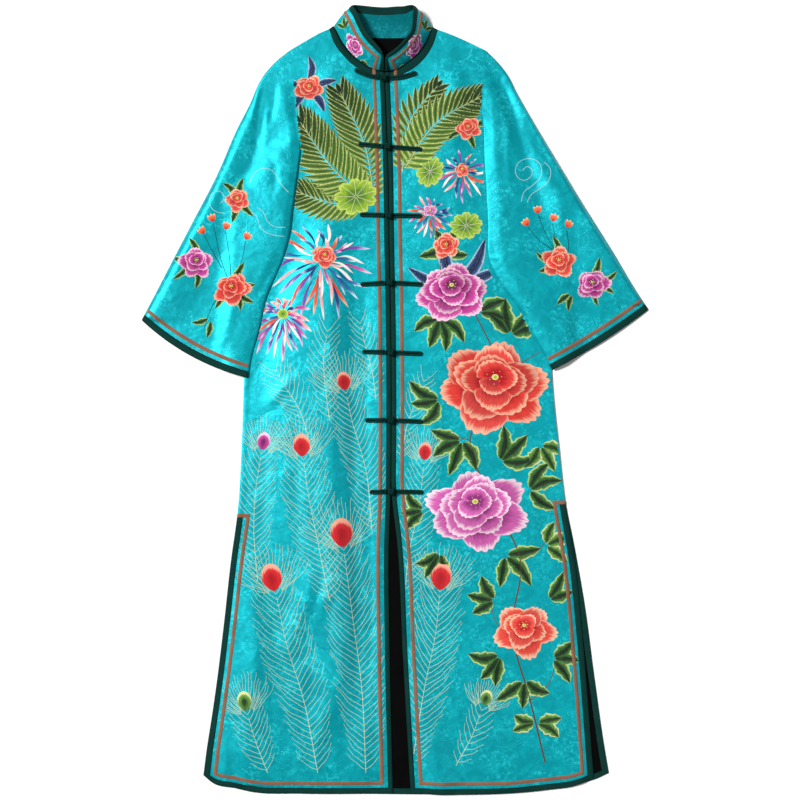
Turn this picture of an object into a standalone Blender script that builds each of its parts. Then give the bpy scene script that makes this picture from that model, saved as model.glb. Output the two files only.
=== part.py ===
"""Front-opening qipao robe laid flat on its back: satin panels with bound edges, inset flat braid,
3/4 sleeves, a stand collar and seven cord frogs. Lengths are in metres. +X is to the right of
someone who looks down on the robe, +Y runs from the hem to the collar, and +Z is up."""

from math import asin, cos, pi, sin

import bmesh
import bpy
import numpy as np

# Cloth, seams and layers
WALL = 0.0015
SEAM_GAP = 0.0003
FRONT_BASE = WALL + SEAM_GAP
FRONT_TOP = FRONT_BASE + WALL
BINDING_EXTRA = 0.0005
BRAID_THICK = 0.0009
LAP_RISE = FRONT_TOP + 0.0007
LAP_FLAT = 0.018
LAP_RUN = 0.028
FRONTS_APART = 0.0006

# Trim widths, and the steps that they cut into each panel from its edges
FRONT_BINDING = 0.007
EDGE_BINDING = 0.009
NECK_BINDING = 0.008
CUFF_BINDING = 0.010
COLLAR_BINDING = 0.008
BRAID_WIDTH = 0.0062
FRONT_BRAID_AT = 0.0136
EDGE_BRAID_AT = 0.0138
CUFF_BRAID_AT = 0.0152
COLLAR_BRAID_AT = 0.0135


def trim_steps(binding, braid_at):
    """Distances from an edge to its binding, the seam behind it and both sides of its braid."""
    return np.array([0.0, binding, binding + SEAM_GAP, braid_at, braid_at + BRAID_WIDTH])


CENTRE_STEPS = trim_steps(FRONT_BINDING, FRONT_BRAID_AT)
EDGE_STEPS = trim_steps(EDGE_BINDING, EDGE_BRAID_AT)
CUFF_STEPS = trim_steps(CUFF_BINDING, CUFF_BRAID_AT)
COLLAR_STEPS = trim_steps(COLLAR_BINDING, COLLAR_BRAID_AT)

# Cells of the cloth grids
NECK_COLUMNS = 5
SHOULDER_COLUMNS = 3
PANEL_COLUMNS = NECK_COLUMNS + SHOULDER_COLUMNS
BACK_COLUMNS = 10
BACK_TOP_ROWS = 3
ROW_HEIGHT = 0.056
SLEEVE_ROWS = 8
SLEEVE_COLUMNS = np.array([0.0, 0.03, 0.13, 0.28, 0.44, 0.60, 0.75, 0.88, 0.97, 1.0])
UNDERARM_COLUMN = 0.60

# How the laid cloth swells between its edges
SWELL = 0.0022
SWELL_RUN = 0.085
SLEEVE_SWELL = 0.0020
SLEEVE_SWELL_RUN = 0.3
SOFTNESS = 0.0005
FOLD_FADE = 2.5
# Folds fade out within these distances of a front's edges, and in under a sleeve
CENTRE_QUIET = 0.040
SIDE_QUIET = 0.018
HEM_QUIET = 0.100
HEM_SHARE = 0.6
UNDER_SLEEVE_FROM = -0.020
UNDER_SLEEVE_RUN = 0.080
UNDER_SLEEVE_WIDTH = 0.150
UNDER_SLEEVE_EDGE = 0.050

# Outlines. Rows of centre and side: height y, x there. Rows of hem: x, height y there.
# Rows of neck_outer, neck_inner and shoulder: x, y, from the centre front outwards.
LEFT_FRONT = {
    "way": -1,
    "centre": (
        (-0.597, -0.0030),
        (-0.379, -0.0080),
        (-0.212, -0.0090),
        (-0.150, -0.0068),
        (-0.100, -0.0062),
        (0.112, -0.0066),
        (0.258, -0.0093),
        (0.335, -0.0103),
        (0.501, -0.0160),
    ),
    "side": (
        (-0.569, -0.2910),
        (-0.534, -0.2870),
        (-0.437, -0.2720),
        (-0.340, -0.2600),
        (-0.242, -0.2490),
        (-0.169, -0.2390),
        (-0.072, -0.2330),
        (0.013, -0.2300),
        (0.153, -0.2260),
        (0.293, -0.2200),
    ),
    "hem": (
        (-0.291, -0.569),
        (-0.278, -0.580),
        (-0.242, -0.589),
        (-0.220, -0.594),
        (-0.144, -0.597),
        (-0.003, -0.597),
    ),
    "neck_outer": (
        (-0.016, 0.489),
        (-0.024, 0.4905),
        (-0.038, 0.496),
        (-0.059, 0.506),
        (-0.077, 0.522),
        (-0.093, 0.544),
        (-0.100, 0.564),
    ),
    "neck_inner": (
        (-0.016, 0.498),
        (-0.027, 0.5005),
        (-0.038, 0.505),
        (-0.053, 0.514),
        (-0.069, 0.528),
        (-0.084, 0.549),
        (-0.093, 0.569),
    ),
    "shoulder": ((-0.100, 0.564), (-0.112, 0.559), (-0.132, 0.548), (-0.160, 0.531)),
    "armhole_fold": (-0.144, 0.376),
    "underarm": (-0.220, 0.293),
    "slit_top": -0.172,
}
RIGHT_FRONT = {
    "way": 1,
    "centre": (
        (-0.598, 0.0240),
        (-0.548, 0.0210),
        (-0.387, 0.0120),
        (-0.212, 0.0030),
        (-0.150, -0.0042),
        (-0.100, -0.0066),
        (0.501, -0.0160),
    ),
    "side": (
        (-0.573, 0.3020),
        (-0.455, 0.2930),
        (-0.347, 0.2840),
        (-0.235, 0.2720),
        (-0.177, 0.2620),
        (-0.151, 0.2580),
        (-0.072, 0.2490),
        (0.013, 0.2400),
        (0.153, 0.2340),
        (0.297, 0.2280),
    ),
    "hem": (
        (0.024, -0.5975),
        (0.105, -0.5987),
        (0.196, -0.595),
        (0.233, -0.591),
        (0.269, -0.586),
        (0.287, -0.580),
        (0.302, -0.573),
    ),
    "neck_outer": (
        (-0.0152, 0.489),
        (-0.006, 0.490),
        (0.008, 0.494),
        (0.029, 0.505),
        (0.046, 0.521),
        (0.059, 0.543),
        (0.065, 0.563),
    ),
    "neck_inner": (
        (-0.0152, 0.498),
        (-0.006, 0.4985),
        (0.005, 0.503),
        (0.020, 0.513),
        (0.035, 0.526),
        (0.049, 0.546),
        (0.057, 0.567),
    ),
    "shoulder": ((0.065, 0.563), (0.082, 0.557), (0.103, 0.548), (0.138, 0.531)),
    "armhole_fold": (0.131, 0.445),
    "underarm": (0.228, 0.297),
    "slit_top": -0.152,
}
BACK = {
    "left": (
        (-0.567, -0.2860),
        (-0.534, -0.2830),
        (-0.437, -0.2690),
        (-0.340, -0.2575),
        (-0.242, -0.2475),
        (-0.169, -0.2385),
        (-0.072, -0.2330),
        (0.013, -0.2300),
        (0.153, -0.2260),
        (0.293, -0.2200),
        (0.531, -0.1600),
    ),
    "right": (
        (-0.566, 0.3250),
        (-0.510, 0.3160),
        (-0.413, 0.3020),
        (-0.315, 0.2890),
        (-0.218, 0.2720),
        (-0.145, 0.2575),
        (-0.072, 0.2490),
        (0.013, 0.2400),
        (0.153, 0.2340),
        (0.297, 0.2280),
        (0.531, 0.1380),
    ),
    "hem": (
        (-0.286, -0.567),
        (-0.220, -0.590),
        (-0.144, -0.595),
        (-0.023, -0.598),
        (0.105, -0.598),
        (0.196, -0.594),
        (0.269, -0.585),
        (0.306, -0.575),
        (0.325, -0.566),
    ),
    "top": (
        (-0.160, 0.531),
        (-0.132, 0.548),
        (-0.0945, 0.567),
        (-0.078, 0.556),
        (-0.050, 0.5515),
        (-0.015, 0.5505),
        (0.020, 0.5515),
        (0.045, 0.556),
        (0.059, 0.566),
        (0.103, 0.548),
        (0.138, 0.531),
    ),
    "slit_top": -0.160,
}
# Rows of outer and inner: x, y, from the shoulder to the cuff.
LEFT_SLEEVE = {
    "front": LEFT_FRONT,
    "outer": (
        (-0.1606, 0.531),
        (-0.170, 0.524),
        (-0.185, 0.511),
        (-0.204, 0.487),
        (-0.220, 0.451),
        (-0.239, 0.414),
        (-0.271, 0.341),
        (-0.309, 0.268),
        (-0.347, 0.195),
        (-0.375, 0.141),
        (-0.385, 0.122),
    ),
    "inner": (
        (-0.1443, 0.376),
        (-0.149, 0.337),
        (-0.155, 0.291),
        (-0.161, 0.247),
        (-0.172, 0.212),
        (-0.182, 0.189),
        (-0.196, 0.154),
        (-0.207, 0.106),
        (-0.219, 0.063),
        (-0.223, 0.034),
    ),
    "bow": 0.012,
}
RIGHT_SLEEVE = {
    "front": RIGHT_FRONT,
    "outer": (
        (0.1386, 0.531),
        (0.152, 0.518),
        (0.172, 0.493),
        (0.184, 0.469),
        (0.205, 0.432),
        (0.237, 0.378),
        (0.281, 0.305),
        (0.327, 0.232),
        (0.371, 0.159),
        (0.385, 0.138),
    ),
    "inner": (
        (0.1313, 0.445),
        (0.134, 0.417),
        (0.135, 0.369),
        (0.137, 0.329),
        (0.140, 0.268),
        (0.143, 0.211),
        (0.157, 0.183),
        (0.170, 0.163),
        (0.193, 0.133),
        (0.213, 0.093),
        (0.239, 0.046),
    ),
    "bow": 0.004,
}

# Folds of the laid cloth: from x, y to x, y, height (a trough is negative) and half its width.
BODY_FOLDS = (
    (-0.233, -0.350, -0.244, -0.546, 0.0060, 0.013),
    (-0.170, -0.300, -0.176, -0.455, -0.0045, 0.012),
    (-0.176, -0.455, -0.190, -0.560, -0.0050, 0.014),
    (-0.145, -0.330, -0.150, -0.560, 0.0045, 0.016),
    (-0.118, -0.440, -0.125, -0.575, -0.0035, 0.013),
    (-0.080, -0.300, -0.085, -0.560, 0.0030, 0.020),
    (-0.044, -0.250, -0.046, -0.340, -0.0018, 0.012),
    (0.084, -0.430, 0.088, -0.575, -0.0040, 0.014),
    (0.125, -0.330, 0.140, -0.570, 0.0040, 0.020),
    (0.190, -0.300, 0.215, -0.560, -0.0030, 0.016),
    (0.236, -0.300, 0.258, -0.545, 0.0040, 0.016),
)
SLEEVE_FOLDS = (
    (-0.202, 0.495, -0.210, 0.438, -0.0030, 0.010),
    (-0.210, 0.438, -0.213, 0.335, -0.0030, 0.012),
    (-0.190, 0.480, -0.192, 0.405, 0.0035, 0.009),
    (-0.240, 0.380, -0.300, 0.200, 0.0030, 0.018),
    (-0.182, 0.205, -0.205, 0.160, 0.0035, 0.010),
    (0.152, 0.476, 0.156, 0.229, -0.0030, 0.014),
    (0.195, 0.437, 0.266, 0.309, 0.0035, 0.017),
    (0.152, 0.205, 0.222, 0.085, 0.0040, 0.012),
    (0.250, 0.260, 0.300, 0.150, -0.0020, 0.018),
)

# Collar, round the neck from the left front edge to the right one.
# Columns: x, y, z of the seam at its foot, then x, y, z of its rim, on the outer side.
COLLAR_STATIONS = (
    (-0.0160, 0.5000, 0.0041, -0.0160, 0.5210, 0.0220),
    (-0.0270, 0.5020, 0.0041, -0.0200, 0.5270, 0.0250),
    (-0.0525, 0.5150, 0.0041, -0.0310, 0.5400, 0.0270),
    (-0.0680, 0.5290, 0.0041, -0.0400, 0.5510, 0.0270),
    (-0.0830, 0.5500, 0.0044, -0.0500, 0.5690, 0.0265),
    (-0.0885, 0.5610, 0.0050, -0.0570, 0.5850, 0.0265),
    (-0.0926, 0.5693, 0.0028, -0.0635, 0.5960, 0.0230),
    (-0.0850, 0.5640, 0.0002, -0.0590, 0.5980, 0.0170),
    (-0.0750, 0.5570, 0.0002, -0.0490, 0.5985, 0.0145),
    (-0.0500, 0.5521, 0.0002, -0.0330, 0.5985, 0.0140),
    (-0.0150, 0.5510, 0.0002, -0.0150, 0.5975, 0.0135),
    (0.0200, 0.5521, 0.0002, 0.0020, 0.5985, 0.0140),
    (0.0430, 0.5570, 0.0002, 0.0150, 0.5985, 0.0150),
    (0.0510, 0.5630, 0.0002, 0.0240, 0.5980, 0.0180),
    (0.0567, 0.5672, 0.0028, 0.0285, 0.5950, 0.0260),
    (0.0530, 0.5590, 0.0050, 0.0275, 0.5760, 0.0330),
    (0.0475, 0.5460, 0.0044, 0.0260, 0.5590, 0.0350),
    (0.0338, 0.5265, 0.0041, 0.0170, 0.5450, 0.0350),
    (0.0190, 0.5140, 0.0041, 0.0060, 0.5330, 0.0320),
    (0.0045, 0.5040, 0.0041, -0.0070, 0.5235, 0.0280),
    (-0.0150, 0.4998, 0.0041, -0.0150, 0.5210, 0.0240),
)
COLLAR_WALL = 0.0016
COLLAR_HEIGHT = 0.043
COLLAR_CROWN = 0.0018
COLLAR_ROWS = 3
COLLAR_CLEAR = 0.004

# Frogs. Columns: knot x, y, then x, y of the left bar's end and of the right one's.
FROGS = (
    (-0.0172, 0.4895, -0.0599, 0.5015, 0.0313, 0.4970),
    (-0.0110, 0.385, -0.054, 0.389, 0.039, 0.381),
    (-0.0092, 0.281, -0.052, 0.282, 0.039, 0.280),
    (-0.0075, 0.179, -0.051, 0.176, 0.041, 0.176),
    (-0.0060, 0.073, -0.048, 0.074, 0.040, 0.071),
    (-0.0060, -0.030, -0.044, -0.030, 0.040, -0.032),
    (-0.0056, -0.138, -0.037, -0.139, 0.041, -0.139),
)
CORD_RADIUS = 0.0013
CORD_SPREAD = 0.0016
CORD_BENDS = (0.0125, 0.0205, 0.0265)
CORD_END = 0.004
EYE_STEPS = 6
STEM_RADIUS = 0.0018
EYE_RADIUS = STEM_RADIUS + SEAM_GAP + CORD_RADIUS + 0.0002
KNOT_RADIUS = 0.0056
KNOT_HEIGHT = 0.0088
KNOT_RINGS = 6
KNOT_SIDES = 12
KNOT_SINK = 0.0006
KNOT_CLEARANCE = 0.0008
TAIL_START = EYE_RADIUS + 2 * CORD_RADIUS + SEAM_GAP + 0.0002
# Rows: distance from the centre front, height of the cord's underside above the cloth.
CORD_LIFT = (
    (0.000, BINDING_EXTRA + 0.0005),
    (0.010, BINDING_EXTRA + 0.0006),
    (0.0125, BRAID_THICK + 0.0008),
    (0.0215, BRAID_THICK + 0.0008),
    (0.028, 0.0005),
    (0.060, 0.0005),
)
# The same for the first frog, which lies over the neck binding and the braid that crosses it.
NECK_CORD_LIFT = (
    (0.000, BINDING_EXTRA + 0.0005),
    (0.008, BINDING_EXTRA + 0.0006),
    (0.0105, BINDING_EXTRA + BRAID_THICK + 0.0008),
    (0.0215, BINDING_EXTRA + BRAID_THICK + 0.0008),
    (0.028, BINDING_EXTRA + 0.0005),
    (0.060, BINDING_EXTRA + 0.0005),
)

# Colour in the source, roughness, metallic
FINISHES = {
    "satin": ((0.013, 0.410, 0.455), 0.42, 0.0),
    "binding_satin": ((0.009, 0.038, 0.034), 0.50, 0.0),
    "copper_braid": ((0.420, 0.165, 0.095), 0.45, 0.0),
    "frog_cord": ((0.006, 0.040, 0.035), 0.60, 0.0),
}


def ramp(share):
    """Eases from 0 to 1 while share goes from 0 to 1."""
    share = np.clip(share, 0.0, 1.0)
    return share * share * (3.0 - 2.0 * share)


def at_least_zero(height):
    """The height, eased so that cloth never dips under the level that it rests on."""
    raised = np.maximum(height, 0.0)
    return np.where(raised < SOFTNESS, raised * raised / (2 * SOFTNESS), raised - SOFTNESS / 2)


def smooth(rows, at):
    """Reads rows of place and values at other places, along a curve through every row."""
    rows = np.array(rows, float)
    places, values = rows[:, 0], rows[:, 1:]
    slopes = np.gradient(values, places, axis=0)
    at = np.atleast_1d(np.asarray(at, float))
    k = np.clip(np.searchsorted(places, at) - 1, 0, len(places) - 2)
    run = (places[k + 1] - places[k])[:, None]
    t = np.clip((at - places[k])[:, None] / run, 0.0, 1.0)
    start = (1 + 2 * t) * (1 - t) ** 2 * values[k] + t * (1 - t) ** 2 * run * slopes[k]
    end = t * t * (3 - 2 * t) * values[k + 1] - t * t * (1 - t) * run * slopes[k + 1]
    return start + end


def height_read(rows, at):
    """One value of the table for each place, in the shape that the places come in."""
    at = np.asarray(at, float)
    return smooth(rows, at.ravel())[:, 0].reshape(at.shape)


def lengths(points):
    steps = np.linalg.norm(np.diff(points, axis=0), axis=1)
    return np.concatenate([[0.0], np.cumsum(steps)])


def follow(points, distances):
    """Points at these distances along a curve through the given points."""
    points = np.array(points, float)
    return smooth(np.column_stack([lengths(points), points]), distances)


def reach(points):
    return lengths(np.array(points, float))[-1]


def between(start, end, count):
    """Evenly spaced places between two others, without those two."""
    return start + (end - start) * np.arange(1, count) / count


def folds(rows, x, y):
    """Height of the named folds at these places, each fading out beyond its two ends."""
    total = np.zeros_like(x)
    for x0, y0, x1, y1, height, half_width in rows:
        run = np.array([x1 - x0, y1 - y0])
        length = np.hypot(*run)
        along = ((x - x0) * run[0] + (y - y0) * run[1]) / length
        across = ((x - x0) * run[1] - (y - y0) * run[0]) / length
        past = np.maximum(0.0, np.maximum(-along, along - length)) / (FOLD_FADE * half_width)
        total += height * np.exp(-((across / half_width) ** 2) - past**2)
    return total


def centre_line(front, y):
    """x of a front's centre edge. The right one meets the left one, and parts from it low down."""
    own = height_read(front["centre"], y)
    if front["way"] < 0:
        return own
    return np.maximum(own, height_read(LEFT_FRONT["centre"], y) + FRONTS_APART)


def side_line(front, y):
    """x of a front's outer edge: its side, then the armhole up to the shoulder."""
    underarm, fold = front["underarm"], front["armhole_fold"]
    shoulder = front["shoulder"][-1]
    armhole_y = (underarm[1], fold[1], shoulder[1])
    armhole_x = (underarm[0], fold[0], shoulder[0])
    y = np.asarray(y, float)
    return np.where(
        y > underarm[1], np.interp(y, armhole_y, armhole_x), height_read(front["side"], y)
    )


def front_lift(front, x, y):
    """How far the front's cloth stands above its lowest level."""
    way = front["way"]
    from_centre = way * (x - centre_line(front, y))
    from_side = way * (height_read(front["side"], y) - x)
    from_shoulder = front["shoulder"][-1][1] - y
    from_hem = y - front["hem"][0][1]
    edge = np.minimum(np.minimum(from_centre, from_side), from_shoulder)
    below_arm = ramp((y - UNDER_SLEEVE_FROM) / UNDER_SLEEVE_RUN)
    under_sleeve = below_arm * ramp((UNDER_SLEEVE_WIDTH - from_side) / UNDER_SLEEVE_EDGE)
    level = SWELL * ramp(edge / SWELL_RUN) + folds(BODY_FOLDS, x, y)
    quiet = ramp(from_centre / CENTRE_QUIET) * ramp(from_side / SIDE_QUIET)
    quiet *= ramp(HEM_SHARE + from_hem / HEM_QUIET)
    return at_least_zero(level * quiet * (1.0 - under_sleeve))


def over_front(front, x, y):
    """1 where a sleeve lies on the front, easing to 0 beside it."""
    way = front["way"]
    (ax, ay), (bx, by) = front["underarm"], front["armhole_fold"]
    length = np.hypot(bx - ax, by - ay)
    below = way * ((bx - ax) * (y - ay) - (by - ay) * (x - ax)) / length
    inside = way * (height_read(front["side"], np.minimum(y, ay)) - x)
    return ramp(1.0 + (np.minimum(below, inside) + LAP_FLAT) / LAP_RUN)


def plan_row(places, y):
    return np.column_stack([places, np.broadcast_to(y, places.shape)])


def across(start, end, near_steps, far_steps, count):
    """Places from one edge to the other: trim steps at both, even columns between them."""
    way = np.sign(end - start)
    near = start + way * near_steps
    far = (end - way * far_steps)[::-1]
    return np.concatenate([near, between(near[-1], far[0], count), far])


def levels(low, high):
    """Heights of the rows between two others, about ROW_HEIGHT apart."""
    return between(low, high, max(1, round((high - low) / ROW_HEIGHT)))


def front_grid(front):
    """Plan points of a front: rows from hem to neckline, columns from centre front to side."""
    way = front["way"]
    hem_side = front["hem"][0][1] if way < 0 else front["hem"][-1][1]
    hem_centre = front["hem"][-1][1] if way < 0 else front["hem"][0][1]
    rows = []

    def straight(y):
        centre = float(centre_line(front, y))
        side = float(side_line(front, y))
        places = across(centre, side, CENTRE_STEPS, EDGE_STEPS, PANEL_COLUMNS)
        return plan_row(places, y)

    for step in EDGE_STEPS:
        centre = float(centre_line(front, hem_centre + step))
        side = float(height_read(front["side"], hem_side + step))
        places = across(centre, side, CENTRE_STEPS, EDGE_STEPS, PANEL_COLUMNS)
        rows.append(plan_row(places, height_read(front["hem"], places) + step))
    slit, underarm, fold = front["slit_top"], front["underarm"][1], front["armhole_fold"][1]
    rows += [straight(y) for y in levels(hem_side + EDGE_STEPS[-1], slit)]
    slit_row = len(rows)
    rows += [straight(slit), straight(slit + SEAM_GAP)]
    rows += [straight(y) for y in levels(slit + SEAM_GAP, underarm)]
    rows += [straight(underarm)]
    rows += [straight(y) for y in levels(underarm, fold)]
    rows += [straight(fold)]

    def neck_row(curve):
        along = np.concatenate(
            [CENTRE_STEPS, between(CENTRE_STEPS[-1], reach(curve), NECK_COLUMNS), [reach(curve)]]
        )
        return follow(curve, along)

    shoulder = reach(front["shoulder"])
    far = (shoulder - EDGE_STEPS)[::-1]
    along = np.concatenate([between(0.0, far[0], SHOULDER_COLUMNS), far])
    shoulder_row = follow(front["shoulder"], along)
    neck_outer, neck_inner = neck_row(front["neck_outer"]), neck_row(front["neck_inner"])
    top = np.vstack([neck_outer, shoulder_row])
    low = rows[-1]
    count = max(1, round((top[0, 1] - fold) / ROW_HEIGHT))
    rows += [low + (top - low) * k / count for k in range(1, count + 1)]
    for share in (SEAM_GAP / NECK_BINDING, 1.0):
        rows.append(np.vstack([neck_outer + share * (neck_inner - neck_outer), shoulder_row]))
    return np.array(rows), slit_row


def back_grid():
    """Plan points of the back: rows from hem to neckline, columns from left to right."""
    rows = []
    for step in EDGE_STEPS[:3]:
        left = float(height_read(BACK["left"], BACK["hem"][0][1] + step))
        right = float(height_read(BACK["right"], BACK["hem"][-1][1] + step))
        places = across(left, right, EDGE_STEPS[:3], EDGE_STEPS[:3], BACK_COLUMNS)
        rows.append(plan_row(places, height_read(BACK["hem"], places) + step))

    def straight(y):
        left, right = (float(back_side(name, y)) for name in ("left", "right"))
        places = across(left, right, EDGE_STEPS[:3], EDGE_STEPS[:3], BACK_COLUMNS)
        return plan_row(places, y)

    slit, underarm = BACK["slit_top"], BACK["left"][-2][0]
    rows += [straight(y) for y in levels(BACK["hem"][-1][1], slit)]
    slit_row = len(rows)
    rows += [straight(slit), straight(slit + SEAM_GAP)]
    rows += [straight(y) for y in levels(slit, underarm)[1::2]]
    rows += [straight(underarm), straight(BACK["right"][-2][0])]
    top = np.array(BACK["top"])
    along = lengths(top)
    side = EDGE_STEPS[:3]
    at = np.concatenate([along[0] + side, along[1:-1], (along[-1] - side)[::-1]])
    top_row = np.column_stack([np.interp(at, along, top[:, k]) for k in (0, 1)])
    low = rows[-1]
    rows += [low + (top_row - low) * k / BACK_TOP_ROWS for k in range(1, BACK_TOP_ROWS + 1)]
    return np.array(rows), slit_row


def back_side(name, y):
    """x of the back's edge: curved below the underarm, straight from there to the shoulder."""
    (low_y, low_x), (high_y, high_x) = BACK[name][-2:]
    share = (y - low_y) / (high_y - low_y)
    above = low_x + (high_x - low_x) * share
    return np.where(y > low_y, above, height_read(BACK[name][:-1], np.minimum(y, low_y)))


def sleeve_grid(sleeve):
    """Plan points of a sleeve's upper and lower layers, a row for each section to the cuff."""
    front = sleeve["front"]
    way = front["way"]
    outer_length, inner_length = reach(sleeve["outer"]), reach(sleeve["inner"])
    shares = np.arange(SLEEVE_ROWS + 1) / SLEEVE_ROWS
    cuff = CUFF_STEPS[::-1][1:]

    def edge(name, length):
        along = np.concatenate([shares * (length - CUFF_STEPS[-1]), length - cuff])
        return follow(sleeve[name], along), along / length

    outer, outer_share = edge("outer", outer_length)
    inner, inner_share = edge("inner", inner_length)
    share = 0.5 * (outer_share + inner_share)
    u = SLEEVE_COLUMNS
    chord = inner - outer
    to_cuff = np.column_stack([chord[:, 1], -chord[:, 0]]) * -way
    to_cuff /= np.linalg.norm(to_cuff, axis=1)[:, None]
    bow = sleeve["bow"] * share[:, None] ** 4 * 4 * u * (1 - u)
    upper = outer[:, None] + chord[:, None] * u[:, None] + to_cuff[:, None] * bow[..., None]
    start, end = outer[0], inner[0]
    underarm = np.array(front["underarm"]) + np.array([way * SEAM_GAP, 0.0])
    corners = (0.0, UNDERARM_COLUMN, 1.0)
    armhole = np.column_stack(
        [np.interp(u, corners, (start[k], underarm[k], end[k])) for k in (0, 1)]
    )
    straight = start + (end - start) * u[:, None]
    drop = np.maximum(0.0, 1.0 - share / share[SLEEVE_ROWS])
    lower = upper + (armhole - straight)[None] * drop[:, None, None]
    return upper, lower, share


def sleeve_heights(sleeve, upper, lower, share):
    """Top of the upper layer and underside of the lower one, over both grids."""
    front = sleeve["front"]
    under = LAP_RISE * over_front(front, lower[..., 0], lower[..., 1])
    x, y = upper[..., 0], upper[..., 1]
    billow = 4 * SLEEVE_COLUMNS * (1 - SLEEVE_COLUMNS) * ramp(share / SLEEVE_SWELL_RUN)[:, None]
    lift = at_least_zero(SLEEVE_SWELL * billow + folds(SLEEVE_FOLDS, x, y) * ramp(4 * billow))
    base = LAP_RISE * over_front(front, x, y)
    top = base + 2 * WALL + SEAM_GAP + lift
    return top, under


def new_object(name, mesh, finish, collection):
    obj = bpy.data.objects.new(name, mesh)
    collection.objects.link(obj)
    material = bpy.data.materials.new(name)
    material.use_nodes = True
    colour, roughness, metallic = FINISHES[finish]
    shader = material.node_tree.nodes["Principled BSDF"]
    shader.inputs["Base Color"].default_value = (*colour, 1.0)
    shader.inputs["Roughness"].default_value = roughness
    shader.inputs["Metallic"].default_value = metallic
    mesh.materials.append(material)
    return obj


def closed_mesh(name, points, faces):
    """A mesh of these faces, all turned outwards, smooth but for its sharp edges."""
    mesh = bpy.data.meshes.new(name)
    mesh.from_pydata([tuple(point) for point in points], [], faces)
    work = bmesh.new()
    work.from_mesh(mesh)
    loose = [vertex for vertex in work.verts if not vertex.link_faces]
    bmesh.ops.delete(work, geom=loose, context="VERTS")
    bmesh.ops.recalc_face_normals(work, faces=work.faces)
    work.to_mesh(mesh)
    work.free()
    mesh.shade_smooth()
    mesh.set_sharp_from_angle(angle=pi / 5)
    return mesh


def slab(name, high, low, cells, finish, collection):
    """A closed wall between two grids of points, over the chosen cells of the grid."""
    rows, columns = high.shape[:2]
    points = np.vstack([high.reshape(-1, 3), low.reshape(-1, 3)])
    under = rows * columns
    padded = np.pad(cells, 1)
    faces = []
    for i, j in zip(*np.nonzero(cells)):
        a = int(i * columns + j)
        corners = (a, a + 1, a + columns + 1, a + columns)
        # Every layer splits its cells the same way, so that layers stay parallel
        for triangle in (corners[:3], (corners[0], *corners[2:])):
            faces.append(triangle)
            faces.append(tuple(corner + under for corner in reversed(triangle)))
        # Neighbours below, right, above and left of this cell, in the order of its edges
        neighbours = ((i, j + 1), (i + 1, j + 2), (i + 2, j + 1), (i + 1, j))
        for k, place in enumerate(neighbours):
            if not padded[place]:
                p, q = corners[k], corners[(k + 1) % 4]
                faces.append((q, p, p + under, q + under))
    return new_object(name, closed_mesh(name, points, faces), finish, collection)


def tube_wall(name, outer, inner, finish, collection):
    """A closed wall between outer and inner rings, open right through its hollow."""
    rings, count = outer.shape[:2]
    points = np.vstack([outer.reshape(-1, 3), inner.reshape(-1, 3)])
    shift = rings * count
    faces = []
    for r in range(rings - 1):
        for k in range(count):
            a, b = r * count + k, r * count + (k + 1) % count
            faces.append((a, b, b + count, a + count))
            faces.append((a + shift, a + shift + count, b + shift + count, b + shift))
    for r in (0, rings - 1):
        for k in range(count):
            a, b = r * count + k, r * count + (k + 1) % count
            faces.append((a, b, b + shift, a + shift))
    return new_object(name, closed_mesh(name, points, faces), finish, collection)


def with_height(plan, height):
    return np.dstack([plan, height])


def make_front(side, front, collection):
    """A front panel with its binding, the neck binding and the inset braid."""
    plan, slit_row = front_grid(front)
    x, y = plan[..., 0], plan[..., 1]
    low = FRONT_BASE + front_lift(front, x, y)
    rows, columns = plan.shape[0] - 1, plan.shape[1] - 1
    near_braid, far_braid = len(CENTRE_STEPS) - 2, columns - len(EDGE_STEPS) + 1
    corner = len(CENTRE_STEPS) - 1 + NECK_COLUMNS
    neck_seam = rows - 2

    binding = np.zeros((rows, columns), bool)
    binding[:, 0] = True
    binding[0, :] = True
    binding[:slit_row, -1] = True
    gap = np.zeros_like(binding)
    gap[1:, 1] = True
    gap[1, 1:-1] = True
    gap[1 : slit_row + 1, -2] = True
    gap[slit_row, -2:] = True
    gap[neck_seam, 1:] = True
    neck = np.zeros_like(binding)
    neck[-1, 2:corner] = True
    panel = ~(binding | gap)
    panel[neck_seam:] = False
    braid = np.zeros_like(binding)
    braid[3:, near_braid] = True
    braid[3, near_braid : far_braid + 1] = True
    braid[3:slit_row, far_braid] = True

    panel_top = low + WALL
    trim_top = panel_top + BINDING_EXTRA
    braid_low = panel_top + SEAM_GAP
    braid_low[-2:] = trim_top[-2:] + SEAM_GAP
    slab(f"front_{side}", with_height(plan, panel_top), with_height(plan, low), panel,
         "satin", collection)
    for name, cells in ((f"front_binding_{side}", binding), (f"neck_binding_{side}", neck)):
        slab(name, with_height(plan, trim_top), with_height(plan, low), cells,
             "binding_satin", collection)
    slab(f"front_braid_{side}", with_height(plan, braid_low + BRAID_THICK),
         with_height(plan, braid_low), braid, "copper_braid", collection)


def make_back(collection):
    """The back panel, flat on its outer side, with its hem and slit binding."""
    plan, slit_row = back_grid()
    rows, columns = plan.shape[0] - 1, plan.shape[1] - 1
    binding = np.zeros((rows, columns), bool)
    binding[0, :] = True
    binding[:slit_row, (0, -1)] = True
    gap = np.zeros_like(binding)
    gap[1, 1:-1] = True
    gap[1 : slit_row + 1, (1, -2)] = True
    gap[slit_row, (0, -1)] = True
    floor = np.zeros(plan.shape[:2])
    high, low = with_height(plan, floor + WALL), with_height(plan, floor)
    slab("back_panel", high, low, ~(binding | gap), "satin", collection)
    slab("back_binding", high, low, binding, "binding_satin", collection)


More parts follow.
